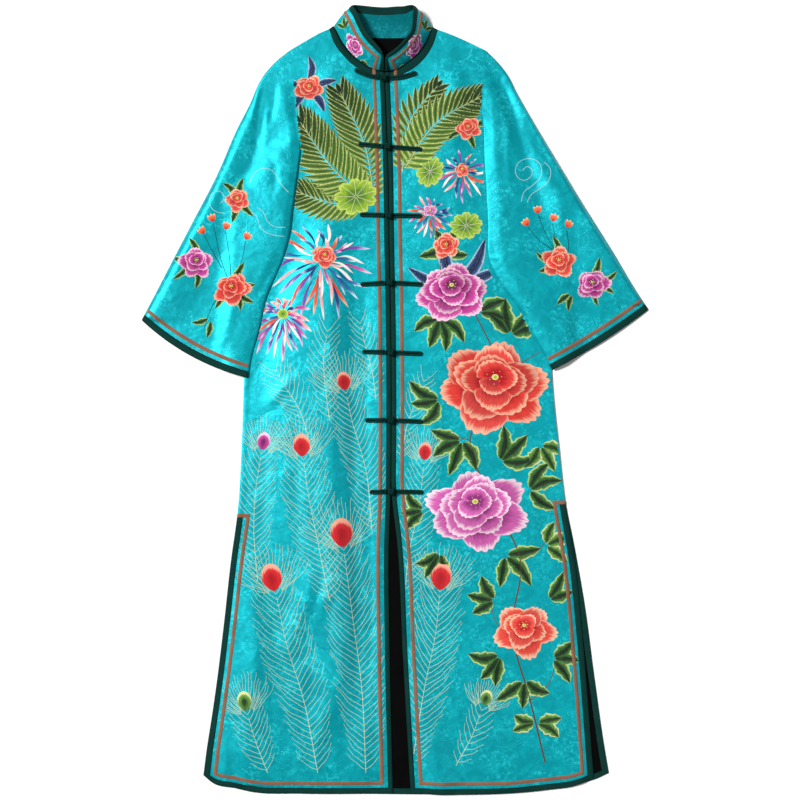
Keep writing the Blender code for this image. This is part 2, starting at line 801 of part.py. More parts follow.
def sleeve_rings(upper, lower, top, under, wall):
    """Rings round the flattened sleeve: outer side, or inner side for a wall above zero."""
    middle = 0.5 * (top[:, (0, -1)] + under[:, (0, -1)])
    ends = upper[:, (0, -1)]
    inward = ends[:, ::-1] - ends
    ends = ends + inward / np.linalg.norm(inward, axis=2)[..., None] * wall
    over = np.dstack([upper[:, 1:-1], top[:, 1:-1] - wall])
    below = np.dstack([lower[:, 1:-1], under[:, 1:-1] + wall])[:, ::-1]
    outer_end = np.dstack([ends[:, :1], middle[:, :1]])
    inner_end = np.dstack([ends[:, 1:], middle[:, 1:]])
    return np.concatenate([outer_end, over, inner_end, below], axis=1)


def make_sleeve(side, sleeve, collection):
    """A flattened sleeve, its bound cuff and the braid inset above it."""
    upper, lower, share = sleeve_grid(sleeve)
    top, under = sleeve_heights(sleeve, upper, lower, share)
    outer = sleeve_rings(upper, lower, top, under, 0.0)
    inner = sleeve_rings(upper, lower, top, under, WALL)
    tube_wall(f"sleeve_{side}", outer[:-2], inner[:-2], "satin", collection)
    trim = sleeve_rings(upper, lower, top + BINDING_EXTRA, under, 0.0)
    tube_wall(f"cuff_binding_{side}", trim[-2:], inner[-2:], "binding_satin", collection)
    first = len(upper) - len(CUFF_STEPS)
    strip = slice(first, first + 2)
    plan = upper[strip, 1:-1]
    low = top[strip, 1:-1] + SEAM_GAP
    slab(f"cuff_braid_{side}", with_height(plan, low + BRAID_THICK), with_height(plan, low),
         np.ones((1, plan.shape[1] - 1), bool), "copper_braid", collection)


def collar_surface():
    """Points and outward directions of the collar: rows from foot to rim, columns round the neck."""
    stations = np.array(COLLAR_STATIONS)
    along = lengths(stations[:, :3])
    ends = COLLAR_STEPS
    least, most = ends[-1] + COLLAR_CLEAR, along[-1] - ends[-1] - COLLAR_CLEAR
    inner = along[(along > least) & (along < most)]
    columns = np.concatenate([ends, inner, (along[-1] - ends)[::-1]])
    at = smooth(np.column_stack([along, stations]), columns)
    foot, rim = at[:, :3], at[:, 3:]
    steps = np.concatenate([np.arange(COLLAR_ROWS) / COLLAR_ROWS * (1 - ends[-1] / COLLAR_HEIGHT),
                            (1 - ends / COLLAR_HEIGHT)[::-1]])
    surface = foot[None] + (rim - foot)[None] * steps[:, None, None]
    ahead = np.gradient(surface, axis=1)
    up = (rim - foot)[None]
    outward = np.cross(up, ahead)
    outward /= np.linalg.norm(outward, axis=2)[..., None]
    crown = COLLAR_CROWN * 4 * steps * (1 - steps)
    return surface + outward * crown[:, None, None], outward


def make_collar(collection):
    """The stand collar, its bound rim and front edges, and the braid that runs inside them."""
    outer, outward = collar_surface()
    inner = outer - outward * COLLAR_WALL
    rows, columns = outer.shape[0] - 1, outer.shape[1] - 1
    binding = np.zeros((rows, columns), bool)
    binding[-1, :] = True
    binding[:, (0, -1)] = True
    gap = np.zeros_like(binding)
    gap[-2, 1:-1] = True
    gap[:-1, (1, -2)] = True
    braid = np.zeros_like(binding)
    strip = rows - len(COLLAR_STEPS) + 1
    braid[strip, 3:-3] = True
    braid[: strip + 1, (3, -4)] = True
    slab("collar", outer, inner, ~(binding | gap), "satin", collection)
    slab("collar_binding", outer + outward * BINDING_EXTRA, inner, binding,
         "binding_satin", collection)
    low = outer + outward * SEAM_GAP
    slab("collar_braid", low + outward * BRAID_THICK, low, braid, "copper_braid", collection)


def cloth_top(x, y):
    """Height of the fronts' upper face, and the distance from the nearer centre front edge."""
    front = LEFT_FRONT if x < float(centre_line(LEFT_FRONT, y)) else RIGHT_FRONT
    from_centre = abs(x - float(centre_line(front, y)))
    place = np.array([x]), np.array([y])
    return FRONT_TOP + float(front_lift(front, *place)[0]), from_centre


def hairpin(length, eye):
    """A doubled cord in plan, along +X from the knot: its turned end, two legs and its start."""
    turn = [(length - CORD_SPREAD + CORD_SPREAD * cos(a), CORD_SPREAD * sin(a))
            for a in (-pi / 2, 0.0, pi / 2)]
    if eye:
        opening = asin(CORD_SPREAD / EYE_RADIUS)
        arc = 2 * pi - 2 * opening
        angles = [opening + arc * k / EYE_STEPS for k in range(EYE_STEPS + 1)]
        start = [(EYE_RADIUS * cos(a), EYE_RADIUS * sin(a)) for a in angles]
    else:
        centre = TAIL_START + CORD_SPREAD
        start = [(centre + CORD_SPREAD * cos(a), CORD_SPREAD * sin(a))
                 for a in (pi / 2, pi, 3 * pi / 2)]
    bends = [bend for bend in CORD_BENDS if bend < length - CORD_END]
    far = [(bend, CORD_SPREAD) for bend in reversed(bends)]
    near = [(bend, -CORD_SPREAD) for bend in bends]
    return turn + far + start + near


def make_cord(name, knot, end, eye, lifts, collection):
    """One doubled cord from the knot to its end, lying over binding, braid and cloth."""
    dx, dy = end[0] - knot[0], end[1] - knot[1]
    length = float(np.hypot(dx, dy))
    dx, dy = dx / length, dy / length
    curve = bpy.data.curves.new(name, "CURVE")
    curve.dimensions = "3D"
    curve.bevel_depth = CORD_RADIUS
    curve.bevel_resolution = 2
    route = hairpin(length, eye)
    spline = curve.splines.new("POLY")
    spline.points.add(len(route) - 1)
    spline.use_cyclic_u = True
    for point, (along, aside) in zip(spline.points, route):
        x = knot[0] + dx * along - dy * aside
        y = knot[1] + dy * along + dx * aside
        top, from_centre = cloth_top(x, y)
        lift = float(np.interp(from_centre, *zip(*lifts)))
        point.co = (x, y, top + lift + CORD_RADIUS, 1.0)
    new_object(name, curve, "frog_cord", collection)


def make_knot(name, knot, collection):
    """A ball knot on its short stem, as a turned profile from top to bottom."""
    top, _ = cloth_top(*knot)
    foot = top + CORD_LIFT[0][1]
    neck = foot + 2 * CORD_RADIUS + KNOT_CLEARANCE
    centre = neck + KNOT_HEIGHT / 2 - KNOT_SINK
    last = pi - asin(STEM_RADIUS / KNOT_RADIUS)
    angles = [last * k / KNOT_RINGS for k in range(KNOT_RINGS + 1)]
    profile = [(KNOT_RADIUS * sin(a), centre + KNOT_HEIGHT / 2 * cos(a)) for a in angles]
    profile += [(STEM_RADIUS, foot), (0.0, foot)]
    mesh = bpy.data.meshes.new(name)
    points = [(radius, 0.0, height) for radius, height in profile]
    mesh.from_pydata(points, [(k, k + 1) for k in range(len(points) - 1)], [])
    obj = new_object(name, mesh, "frog_cord", collection)
    obj.location = (knot[0], knot[1], 0.0)
    turn = obj.modifiers.new("turn", "SCREW")
    turn.steps = turn.render_steps = KNOT_SIDES
    turn.use_merge_vertices = True
    turn.merge_threshold = 0.00001
    turn.use_normal_calculate = True
    turn.use_smooth_shade = True


def make_frogs(collection):
    """Seven frogs: a knot on a doubled cord on the left, held by a looped one on the right."""
    for number, (kx, ky, lx, ly, rx, ry) in enumerate(FROGS, start=1):
        lifts = NECK_CORD_LIFT if number == 1 else CORD_LIFT
        make_cord(f"frog_{number}_tail", (kx, ky), (lx, ly), False, lifts, collection)
        make_cord(f"frog_{number}_loop", (kx, ky), (rx, ry), True, lifts, collection)
        make_knot(f"frog_{number}_knot", (kx, ky), collection)


def main():
    for obj in list(bpy.data.objects):
        bpy.data.objects.remove(obj)
    robe = bpy.data.collections.new("qipao")
    bpy.context.scene.collection.children.link(robe)
    make_back(robe)
    make_front("left", LEFT_FRONT, robe)
    make_front("right", RIGHT_FRONT, robe)
    make_sleeve("left", LEFT_SLEEVE, robe)
    make_sleeve("right", RIGHT_SLEEVE, robe)
    make_collar(robe)
    make_frogs(robe)


main()
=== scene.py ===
"""Looks of the robe that lies flat on its back: figured satin, bound edges, flat braid, cord frogs
and embroidery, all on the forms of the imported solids. Lengths are in metres."""

from math import asin, atan2, cos, hypot, pi, sin

import bmesh
import bpy
import numpy as np
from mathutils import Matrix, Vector
from mathutils.bvhtree import BVHTree


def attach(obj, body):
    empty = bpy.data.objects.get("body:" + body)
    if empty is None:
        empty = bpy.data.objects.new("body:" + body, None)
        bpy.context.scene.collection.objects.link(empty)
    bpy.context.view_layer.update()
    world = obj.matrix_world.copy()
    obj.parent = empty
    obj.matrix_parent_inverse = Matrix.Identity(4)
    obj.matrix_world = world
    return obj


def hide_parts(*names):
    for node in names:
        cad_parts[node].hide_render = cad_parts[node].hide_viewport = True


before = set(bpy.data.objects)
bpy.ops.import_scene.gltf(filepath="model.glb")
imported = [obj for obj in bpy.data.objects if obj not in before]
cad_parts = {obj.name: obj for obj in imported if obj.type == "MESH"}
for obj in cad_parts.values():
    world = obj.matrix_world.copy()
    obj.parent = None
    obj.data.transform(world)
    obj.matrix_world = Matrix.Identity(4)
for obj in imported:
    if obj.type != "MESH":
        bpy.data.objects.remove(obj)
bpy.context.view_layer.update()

# Cloth, seams and layers
WALL = 0.0015
SEAM_GAP = 0.0003
FRONT_BASE = WALL + SEAM_GAP
FRONT_TOP = FRONT_BASE + WALL
LAP_RISE = FRONT_TOP + 0.0007
LAP_FLAT = 0.018
LAP_RUN = 0.028
FRONTS_APART = 0.0006

# Trim widths, and how far inside an edge each braid lies
FRONT_BINDING = 0.007
EDGE_BINDING = 0.009
NECK_BINDING = 0.008
CUFF_BINDING = 0.010
COLLAR_BINDING = 0.008
BRAID_WIDTH = 0.0054
FRONT_BRAID_AT = 0.0136
EDGE_BRAID_AT = 0.0138
CUFF_BRAID_AT = 0.0152
COLLAR_BRAID_AT = 0.0135

# Sections of the trim. Columns: share of the width, rise of the upper face over the cloth's own.
BINDING_SECTION = (
    (0.00, -0.00070), (0.05, -0.00010), (0.15, 0.00030), (0.50, 0.00050), (0.82, 0.00038),
    (0.94, 0.00012), (1.00, -0.00025),
)
BRAID_SECTION = (
    (0.00, 0.00030), (0.12, 0.00080), (0.50, 0.00095), (0.88, 0.00080), (1.00, 0.00030),
)
EDGE_ROUND = 0.0004
BRAID_FLOAT = 0.0001
BINDING_SHARES = np.array(BINDING_SECTION)[:, 0]
BRAID_SHARES = np.array(BRAID_SECTION)[:, 0]


def trim_steps(binding, braid_at):
    """Distances from an edge to the lines along its binding, the seam behind it and its braid."""
    seam = [binding + SEAM_GAP, 0.5 * (binding + SEAM_GAP + braid_at)]
    return np.concatenate([binding * BINDING_SHARES, seam, braid_at + BRAID_WIDTH * BRAID_SHARES])


CENTRE_STEPS = trim_steps(FRONT_BINDING, FRONT_BRAID_AT)
EDGE_STEPS = trim_steps(EDGE_BINDING, EDGE_BRAID_AT)
CUFF_STEPS = trim_steps(CUFF_BINDING, CUFF_BRAID_AT)
COLLAR_STEPS = trim_steps(COLLAR_BINDING, COLLAR_BRAID_AT)
BOUND = len(BINDING_SHARES)
# Stands for the distance of an edge that is nowhere near.
FAR = 10.0

# Cells of the cloth grids
NECK_COLUMNS = 34
SHOULDER_COLUMNS = 20
PANEL_COLUMNS = NECK_COLUMNS + SHOULDER_COLUMNS
BACK_COLUMNS = 40
ROW_HEIGHT = 0.0052
SLEEVE_ROWS = 74
SLEEVE_COUNT = 44
UNDERARM_SHARE = 0.60
COLLAR_ROWS = 8
COLLAR_COLUMNS = 70

# How the laid cloth swells between its edges
SWELL = 0.0022
SWELL_RUN = 0.085
SLEEVE_SWELL = 0.0020
SLEEVE_SWELL_RUN = 0.3
SOFTNESS = 0.0005
CENTRE_QUIET = 0.020
SIDE_QUIET = 0.018
HEM_QUIET = 0.100
HEM_SHARE = 0.6
UNDER_SLEEVE_FROM = -0.020
UNDER_SLEEVE_RUN = 0.080
UNDER_SLEEVE_FADE = 0.050
FOLD_REACH = 1.5
CREST_ROUND = 0.12
FOOT_SOFT = 0.3

# Scene-only details of the laid cloth
ARMHOLE_START = 0.022
COLLAR_CORNER = 0.0125
ARMHOLE_RUN = 0.070
HEM_EASE = 0.120
BACK_ROW = 0.012
SEAM_MEAN = 1.06
SIDE_ROUND = 0.0006
SIDE_ROUND_COLUMNS = 3.0
ROUND_SHARE = 0.15
NECK_CROSSING = 0.0006
FACING_DROP = 0.0002
FOLD_RADIUS = 0.0024
CREASE_EDGE = 34.0
CREASE_START = 0.025
# The rim at the nape: how far its broader binding reaches, eases and widens
NAPE_REACH = 0.075
NAPE_EASE = 0.025
NAPE_WIDER = 0.40


def metres(*rows):
    """Rows that are written in tenths of a millimetre."""
    return [tuple(value / 10000 for value in row) for row in rows]


# Outlines. Rows of centre and side: height y, x there. Rows of hem: x, height y there.
# Rows of neck_outer, neck_inner and shoulder: x, y, from the centre front outwards.
LEFT_FRONT = {
    "way": -1,
    "centre": metres((-5970, -30), (-3790, -80), (-2120, -90), (-1500, -68), (-1000, -62),
                     (1120, -66), (2580, -93), (3350, -103), (5010, -160)),
    "side": metres((-5690, -2910), (-5340, -2870), (-4370, -2720), (-3400, -2600), (-2420, -2490),
                   (-1690, -2390), (-720, -2330), (130, -2300), (1530, -2260), (2930, -2200)),
    "hem": metres((-2910, -5690), (-2780, -5800), (-2420, -5890), (-2200, -5940), (-1440, -5970),
                  (-30, -5970)),
    "neck_outer": metres((-160, 4890), (-240, 4905), (-380, 4960), (-590, 5060), (-770, 5220),
                         (-930, 5440), (-1000, 5640)),
    "neck_inner": metres((-160, 4980), (-270, 5005), (-380, 5050), (-530, 5140), (-690, 5280),
                         (-840, 5490), (-930, 5690)),
    "shoulder": metres((-1000, 5640), (-1120, 5590), (-1320, 5480), (-1606, 5310)),
    "armhole_fold": (-0.1443, 0.376),
    "underarm": (-0.22, 0.293),
    "slit_top": -0.172,
}
RIGHT_FRONT = {
    "way": 1,
    "centre": metres((-5980, 240), (-5480, 210), (-3870, 120), (-2120, 30), (-1500, -42),
                     (-1000, -66), (5010, -160)),
    "side": metres((-5730, 3020), (-4550, 2930), (-3470, 2840), (-2350, 2720), (-1770, 2620),
                   (-1510, 2580), (-720, 2490), (130, 2400), (1530, 2340), (2970, 2280)),
    "hem": metres((240, -5975), (1050, -5987), (1960, -5950), (2330, -5910), (2690, -5860),
                  (2870, -5800), (3020, -5730)),
    "neck_outer": metres((-152, 4890), (-60, 4900), (80, 4940), (290, 5050), (460, 5210),
                         (590, 5430), (650, 5630)),
    "neck_inner": metres((-152, 4980), (-60, 4985), (50, 5030), (200, 5130), (350, 5260),
                         (490, 5460), (570, 5670)),
    "shoulder": metres((650, 5630), (820, 5570), (1030, 5480), (1386, 5310)),
    "armhole_fold": (0.1313, 0.445),
    "underarm": (0.228, 0.297),
    "slit_top": -0.152,
}
BACK = {
    "left": metres((-5670, -2860), (-5340, -2830), (-4370, -2690), (-3400, -2575), (-2420, -2475),
                   (-1690, -2385), (-720, -2330), (130, -2300), (1530, -2260), (2930, -2200),
                   (5310, -1600)),
    "right": metres((-5660, 3250), (-5100, 3160), (-4130, 3020), (-3150, 2890), (-2180, 2720),
                    (-1450, 2575), (-720, 2490), (130, 2400), (1530, 2340), (2970, 2280),
                    (5310, 1380)),
    "hem": metres((-2860, -5670), (-2200, -5900), (-1440, -5950), (-230, -5980), (1050, -5980),
                  (1960, -5940), (2690, -5850), (3060, -5750), (3250, -5660)),
    "top": metres((-1600, 5310), (-1320, 5480), (-945, 5670), (-780, 5560), (-500, 5515),
                  (-150, 5505), (200, 5515), (450, 5560), (590, 5660), (1030, 5480), (1380, 5310)),
    "slit_top": -0.16,
}
# Rows of outer and inner: x, y, from the shoulder to the cuff.
LEFT_SLEEVE = {
    "front": LEFT_FRONT,
    "outer": metres((-1606, 5310), (-1700, 5240), (-1850, 5110), (-2040, 4870), (-2200, 4510),
                    (-2390, 4140), (-2710, 3410), (-3090, 2680), (-3470, 1950), (-3750, 1410),
                    (-3850, 1220)),
    "inner": metres((-1443, 3760), (-1490, 3370), (-1550, 2910), (-1610, 2470), (-1720, 2120),
                    (-1820, 1890), (-1960, 1540), (-2070, 1060), (-2190, 630), (-2230, 340)),
    "bow": 0.012,
}
RIGHT_SLEEVE = {
    "front": RIGHT_FRONT,
    "outer": metres((1386, 5310), (1520, 5180), (1720, 4930), (1840, 4690), (2050, 4320),
                    (2370, 3780), (2810, 3050), (3270, 2320), (3710, 1590), (3850, 1380)),
    "inner": metres((1313, 4450), (1340, 4170), (1350, 3690), (1370, 3290), (1400, 2680),
                    (1430, 2110), (1570, 1830), (1700, 1630), (1930, 1330), (2130, 930),
                    (2390, 460)),
    "bow": 0.004,
}

# Folds of the laid cloth, each from its lowest place up. Columns: y, x there, height (a trough is
# negative), width of its left slope and of its right one.
BODY_FOLDS = (
    # the long roll beside the placket, and the hollow at its foot
    metres((-5236, -988, 0, 274, 182), (-4552, -866, 55, 334, 182), (-3640, -775, 94, 426, 182),
           (-2880, -821, 100, 669, 198), (-1816, -912, 86, 882, 213), (-296, -942, 80, 942, 213),
           (1072, -973, 70, 882, 213), (2288, -973, 40, 517, 198), (2972, -973, 0, 304, 182)),
    metres((-4780, -654, 0, 152, 137), (-3944, -502, -20, 152, 137), (-3032, -486, -32, 152, 137),
           (-1816, -547, -26, 137, 137), (-296, -562, -24, 137, 122), (1528, -578, -20, 122, 122),
           (2668, -593, 0, 122, 122)),
    metres((-5692, -167, 26, 182, 182), (-3640, -198, 24, 152, 182), (-1208, -213, 22, 137, 182),
           (1528, -213, 18, 137, 182), (2516, -213, 0, 122, 182)),
    metres((-2652, -1429, 0, 106, 106), (-1816, -1474, -6, 106, 106), (-448, -1490, -6, 106, 106),
           (236, -1490, 0, 106, 106)),
    metres((-2424, -2082, 0, 106, 106), (-1816, -2022, -6, 106, 106), (-752, -1991, -6, 106, 106),
           (8, -2022, 0, 106, 106)),
    # the left skirt
    metres((-5844, -2265, 50, 395, 456), (-5084, -2234, 50, 395, 243),
           (-4552, -2174, 60, 426, 198), (-3792, -2098, 60, 426, 198),
           (-3032, -2143, 32, 426, 137), (-2120, -2158, 0, 365, 152)),
    metres((-4127, -1733, 0, 182, 106), (-3640, -1566, 28, 182, 106), (-3032, -1338, 24, 198, 106),
           (-2424, -1201, 0, 213, 91)),
    metres((-3412, -1201, 0, 106, 76), (-3002, -1049, 18, 106, 76), (-2607, -973, 0, 91, 76)),
    metres((-4856, -1505, 0, 152, 122), (-4248, -1414, 16, 152, 122), (-3868, -1353, 0, 137, 137)),
    metres((-5920, -1155, 22, 76, 91), (-5312, -1170, 22, 91, 91), (-4932, -1110, 24, 213, 137),
           (-4552, -988, 0, 182, 122)),
    metres((-5920, -471, 32, 213, 91), (-5008, -441, 32, 213, 91), (-4400, -410, 0, 182, 91)),
    metres((-5920, -2630, 10, 76, 61), (-5464, -2569, 14, 76, 61), (-5084, -2630, 0, 76, 61)),
    # the right skirt
    metres((-6072, 714, 46, 182, 167), (-5540, 654, 50, 182, 167), (-4780, 441, 50, 167, 152),
           (-4172, 289, 36, 152, 137), (-3564, 198, 0, 152, 137)),
    metres((-5920, 1018, -20, 137, 152), (-5160, 866, -20, 137, 152), (-4552, 684, -18, 122, 137),
           (-3944, 623, 0, 122, 137)),
    metres((-5920, 1778, 26, 365, 213), (-4856, 1566, 28, 365, 213), (-3944, 1353, 24, 365, 213),
           (-3032, 1414, 0, 304, 213)),
    metres((-5920, 2873, 30, 243, 137), (-4248, 2721, 30, 243, 137), (-3032, 2599, 26, 243, 137),
           (-1816, 2447, 0, 213, 137)),
    metres((-2880, 441, 0, 213, 152), (-1816, 502, 12, 213, 152), (-600, 562, 16, 213, 152),
           (312, 532, 0, 182, 152)),
    metres((-2424, 2052, 0, 213, 122), (-1512, 2143, 18, 213, 122), (-828, 2204, 0, 182, 122)),
    # pulls over the chest and at the waist
    metres((4294, -1444, 0, 182, 122), (4628, -1262, 18, 213, 122), (4902, -958, 18, 228, 122),
           (5206, -714, 0, 213, 137)),
    metres((3580, 866, 0, 213, 137), (4264, 988, 26, 274, 152), (4872, 958, 36, 334, 152),
           (5206, 745, 0, 243, 152)),
    metres((-205, -2022, 0, 122, 91), (129, -1748, 16, 122, 91), (433, -1444, 0, 106, 91)),
    metres((-327, 1535, 0, 137, 122), (84, 1718, 14, 137, 122), (433, 1900, 0, 122, 122)),
)
SLEEVE_FOLDS = (
    # left: a roll along the inner edge, one along the outer edge, pleats below the shoulder
    metres((312, -2417, 14, 334, 137), (844, -2265, 16, 334, 137), (1497, -2052, 20, 365, 122),
           (2014, -1870, 26, 410, 122), (2516, -1718, 34, 456, 122), (3048, -1642, 33, 426, 122),
           (3504, -1596, 30, 395, 122), (4036, -1596, 25, 304, 106), (4644, -1687, 15, 182, 106),
           (4948, -1733, 0, 182, 106)),
    metres((1224, -3678, 25, 182, 426), (1710, -3450, 51, 152, 410), (2318, -3146, 63, 137, 365),
           (3124, -2736, 59, 122, 289), (3534, -2538, 50, 122, 228), (4036, -2310, 35, 106, 167),
           (4598, -2082, 15, 91, 91), (4811, -2022, 0, 91, 76)),
    metres((4203, -1900, 0, 46, 61), (4492, -1870, -24, 46, 61), (4796, -1854, -24, 46, 61),
           (5054, -1870, 0, 46, 61)),
    metres((3473, -2174, 0, 76, 91), (3808, -2113, -14, 76, 91), (4264, -2067, -28, 61, 76),
           (4628, -1991, -28, 61, 61), (4872, -1930, 0, 61, 61)),
    metres((1528, -2082, 0, 76, 76), (1786, -1961, -16, 76, 76), (2014, -1839, -20, 76, 76),
           (2257, -1733, 0, 76, 76)),
    metres((494, -2782, 0, 106, 76), (737, -2675, 10, 106, 76), (1224, -2538, 14, 106, 76),
           (1649, -2478, 0, 91, 76)),
    metres((3048, -1839, 0, 76, 61), (3382, -1809, -10, 76, 61), (3808, -1870, 0, 76, 61)),
    # right: a roll along the inner edge, one along the outer edge, and the hollow between them
    metres((433, 2599, 28, 152, 304), (844, 2386, 30, 152, 304), (1254, 2128, 30, 152, 334),
           (1710, 1854, 28, 152, 365), (2105, 1672, 26, 152, 395), (2820, 1596, 22, 152, 365),
           (3534, 1535, 19, 137, 304), (4188, 1505, 16, 137, 213), (4720, 1459, 12, 122, 137),
           (5145, 1414, 0, 122, 137)),
    metres((1452, 3694, 34, 517, 122), (2014, 3359, 76, 486, 91), (2622, 2994, 92, 441, 76),
           (3276, 2614, 86, 350, 61), (3777, 2341, 62, 258, 61), (4294, 2052, 40, 198, 61),
           (4750, 1824, 24, 137, 61), (5115, 1642, 0, 91, 61)),
    metres((2105, 2508, 0, 137, 137), (2713, 2295, -6, 137, 137), (3428, 2082, -10, 122, 122),
           (3960, 1900, -14, 106, 106), (4568, 1687, -18, 76, 91), (4872, 1581, 0, 61, 61)),
    metres((3124, 1733, 0, 61, 46), (3580, 1718, 9, 61, 46), (4188, 1702, 9, 61, 46),
           (4568, 1642, 0, 61, 46)),
    metres((540, 2964, 0, 122, 122), (844, 2873, -12, 122, 122), (1254, 2690, -14, 122, 122),
           (1680, 2508, 0, 122, 122)),
)

# Collar, round the neck from the left front edge to the right one.
# Columns: x, y, z of the seam at its foot, then x, y, z of its rim, on the outer side.
COLLAR_STATIONS = metres(
    (-160, 5000, 41, -160, 5210, 220), (-270, 5020, 41, -200, 5270, 250),
    (-525, 5150, 41, -310, 5400, 270), (-680, 5290, 41, -400, 5510, 270),
    (-830, 5500, 44, -500, 5690, 265), (-885, 5610, 50, -570, 5850, 265),
    (-926, 5693, 28, -635, 5960, 230), (-850, 5640, 2, -590, 5980, 170),
    (-750, 5570, 2, -490, 5975, 145), (-500, 5521, 2, -330, 5958, 140),
    (-150, 5510, 2, -150, 5950, 135), (200, 5521, 2, 20, 5962, 140),
    (430, 5570, 2, 150, 5968, 150), (510, 5630, 2, 240, 5980, 180),
    (567, 5672, 28, 285, 5950, 260), (530, 5590, 50, 275, 5760, 330),
    (475, 5460, 44, 260, 5590, 350), (338, 5265, 41, 170, 5450, 350),
    (190, 5140, 41, 60, 5330, 320), (45, 5040, 41, -70, 5235, 280),
    (-150, 4998, 41, -150, 5210, 240)
)
COLLAR_WALL = 0.0016
COLLAR_HEIGHT = 0.043
COLLAR_CROWN = 0.0018

# Frogs. Columns: knot x, y, then x, y of the left bar's end and of the right one's.
FROGS = metres(
    (-172, 4895, -599, 5015, 313, 4970), (-110, 3850, -540, 3890, 390, 3810),
    (-92, 2810, -520, 2820, 390, 2800), (-75, 1790, -510, 1760, 410, 1760),
    (-60, 730, -480, 740, 400, 710), (-60, -300, -440, -300, 400, -320),
    (-56, -1380, -370, -1390, 410, -1390)
)
CORD_RADIUS = 0.0018
CORD_SPREAD = 0.0018
CORD_STEP = 0.0006
CORD_PITCH = 0.0030
CORD_SIDES = 10
# A laid cord's least radius and the height of its strands, as shares of its radius
CORD_CORE = 0.86
CORD_STRANDS = 0.16
TURN_POINTS = 5
EYE_POINTS = 11
LEG_CLEAR = 0.004
LEG_STEP = 0.003
FIRST_FROG_BOW = 0.0028
FIRST_FROG_LIFT = 0.0012
EYE_RADIUS = 0.0042
TAIL_START = EYE_RADIUS + 2 * CORD_RADIUS + SEAM_GAP
KNOT_CORE = 0.0044
KNOT_CORD = 0.00125
KNOT_WEAVE = 0.0006
KNOT_SPREAD = 1.05
KNOT_LEADS = 3
KNOT_BIGHTS = 4
KNOT_STEPS = 180
KNOT_SIDES = 8
# The ball inside a knot: its share of the core's radius, bands from pole to pole and sides
BALL_SHARE = 0.93
BALL_BANDS = 8
BALL_SIDES = 16
# Rows: distance from the centre front, height of the cord's underside above the cloth.
CORD_LIFT = metres(
    (0, 10), (100, 11), (125, 16), (215, 16), (280, 4), (600, 4)
)

# Figured satin: rosettes for each metre, then linear colours of the ground's deeper and lighter
# parts, of its soft patches and of the figure
ROSETTES = 9.5
SATIN_METALLIC = 0.36
SATIN_SHEEN = (0.34, 0.88, 0.94, 1.0)
SATIN_DEEP = (0.0004, 0.272, 0.333, 1.0)
SATIN_LIGHT = (0.0006, 0.340, 0.402, 1.0)
SATIN_SOFT = (0.002, 0.438, 0.502, 1.0)
SATIN_FIGURE = (0.024, 0.62, 0.69, 1.0)
# Colour scale of the collar's inner facing: the same satin darkened, as painted shade inside the
# collar
FACING_PAINTED_SHADE_SCALE = 0.55

# Darker and lighter linear colours of the other materials
LINING_COLOURS = (0.0014, 0.0015, 0.0016, 1.0), (0.0026, 0.0026, 0.0028, 1.0)
BINDING_COLOURS = (0.0018, 0.017, 0.0145, 1.0), (0.0055, 0.042, 0.035, 1.0)
BINDING_SHEEN = (0.25, 0.8, 0.7, 1.0)
BRAID_COLOURS = (0.11, 0.045, 0.026, 1.0), (0.37, 0.180, 0.112, 1.0)
BRAID_WORN = (0.21, 0.090, 0.052, 1.0)
BRAID_SHEEN = (1.0, 0.75, 0.6, 1.0)
CORD_COLOURS = (0.0014, 0.015, 0.0125, 1.0), (0.0045, 0.036, 0.030, 1.0)
CORD_SHEEN = (0.35, 0.8, 0.7, 1.0)
FLOOR_COLOURS = (0.90, 0.90, 0.90, 1.0), (0.93, 0.93, 0.93, 1.0)
THREAD_WIDTH_MM = 0.55

# Angles above which an edge stays sharp
CLOTH_SHARP = pi / 3.6
STITCH_SHARP = pi / 3

# Camera, floor and light. Rows of lamps: name, place, size, power in watts, colour.
LENS = 85.0
SENSOR = 36.0
VIEW_WIDTH = 1.216
VIEW_CENTRE = (0.0076, 0.0008)
FLOOR_HALF = 4.0
FLOOR_LEVEL = -0.0003
WORLD_STRENGTH = 0.22
LAMPS = (
    ("key", (-5.0, 2.2, 7.4), 2.4, 1060.0, (1.0, 0.99, 0.97)),
    ("fill", (1.6, -0.6, 2.2), 1.6, 8.0, (0.96, 0.98, 1.0)),
)

# Embroidery: heights of its pads and lines over the cloth, and the sheet that it is drawn on
PAD_FLOAT = 0.00003
PAD_EDGE = 0.00013
PAD_DOME = 0.00026
PETAL_DOME = 0.00013
PAD_LAYER = 0.00009
# A pad has no cell across a step of the cloth that is higher than this.
PAD_DROP = 0.0032
BLOSSOM_LIFT = 0.00022
LINE_HEIGHT = 0.00034
LINE_WIDTH = 0.00070
STEM_HEIGHT = 0.0005
SCROLL_WIDTH = 0.0008
FROND_RIB_WIDTH = 0.0011
LEAF_RIB_WIDTH = 0.0006
ROUND_RIB_WIDTH = 0.0008
STALK_WIDTH = 0.0009
CLIMBER_WIDTH = 0.0024
SIDE_STEM_WIDTH = 0.0015
SPRAY_STEM_WIDTH = 0.0011
STEM_STEP = 0.004
BARB_STEP = 0.0045
PALM_LEAN = (1.25, 0.50)
PETAL_ROWS = 8
PETAL_COLUMNS = 22
SCALLOP = 0.10
TOOTH = 0.30
LEAST_HALF_WIDTH = 0.00015
ANTHERS = 7
ANTHER_SIZE = 0.0014
FROND_POINTS = 60
ROUND_LOBES = 9
STALK_POINTS_A_PAIR = 4
HEAD_BARBS = 23
HEAD_START = 0.010
SLEEVE_BUD_LENGTH = 0.0125
SLEEVE_BUD_WIDTH = 0.0058
SLEEVE_BUD_SPREAD = 26
DROP_POINT = 0.35
FULL_FLOWER = 0.10
THREADS_MM = 1000
SHEET_STEP = 0.00152
SHEET_CENTRE = (395.0, 400.5)
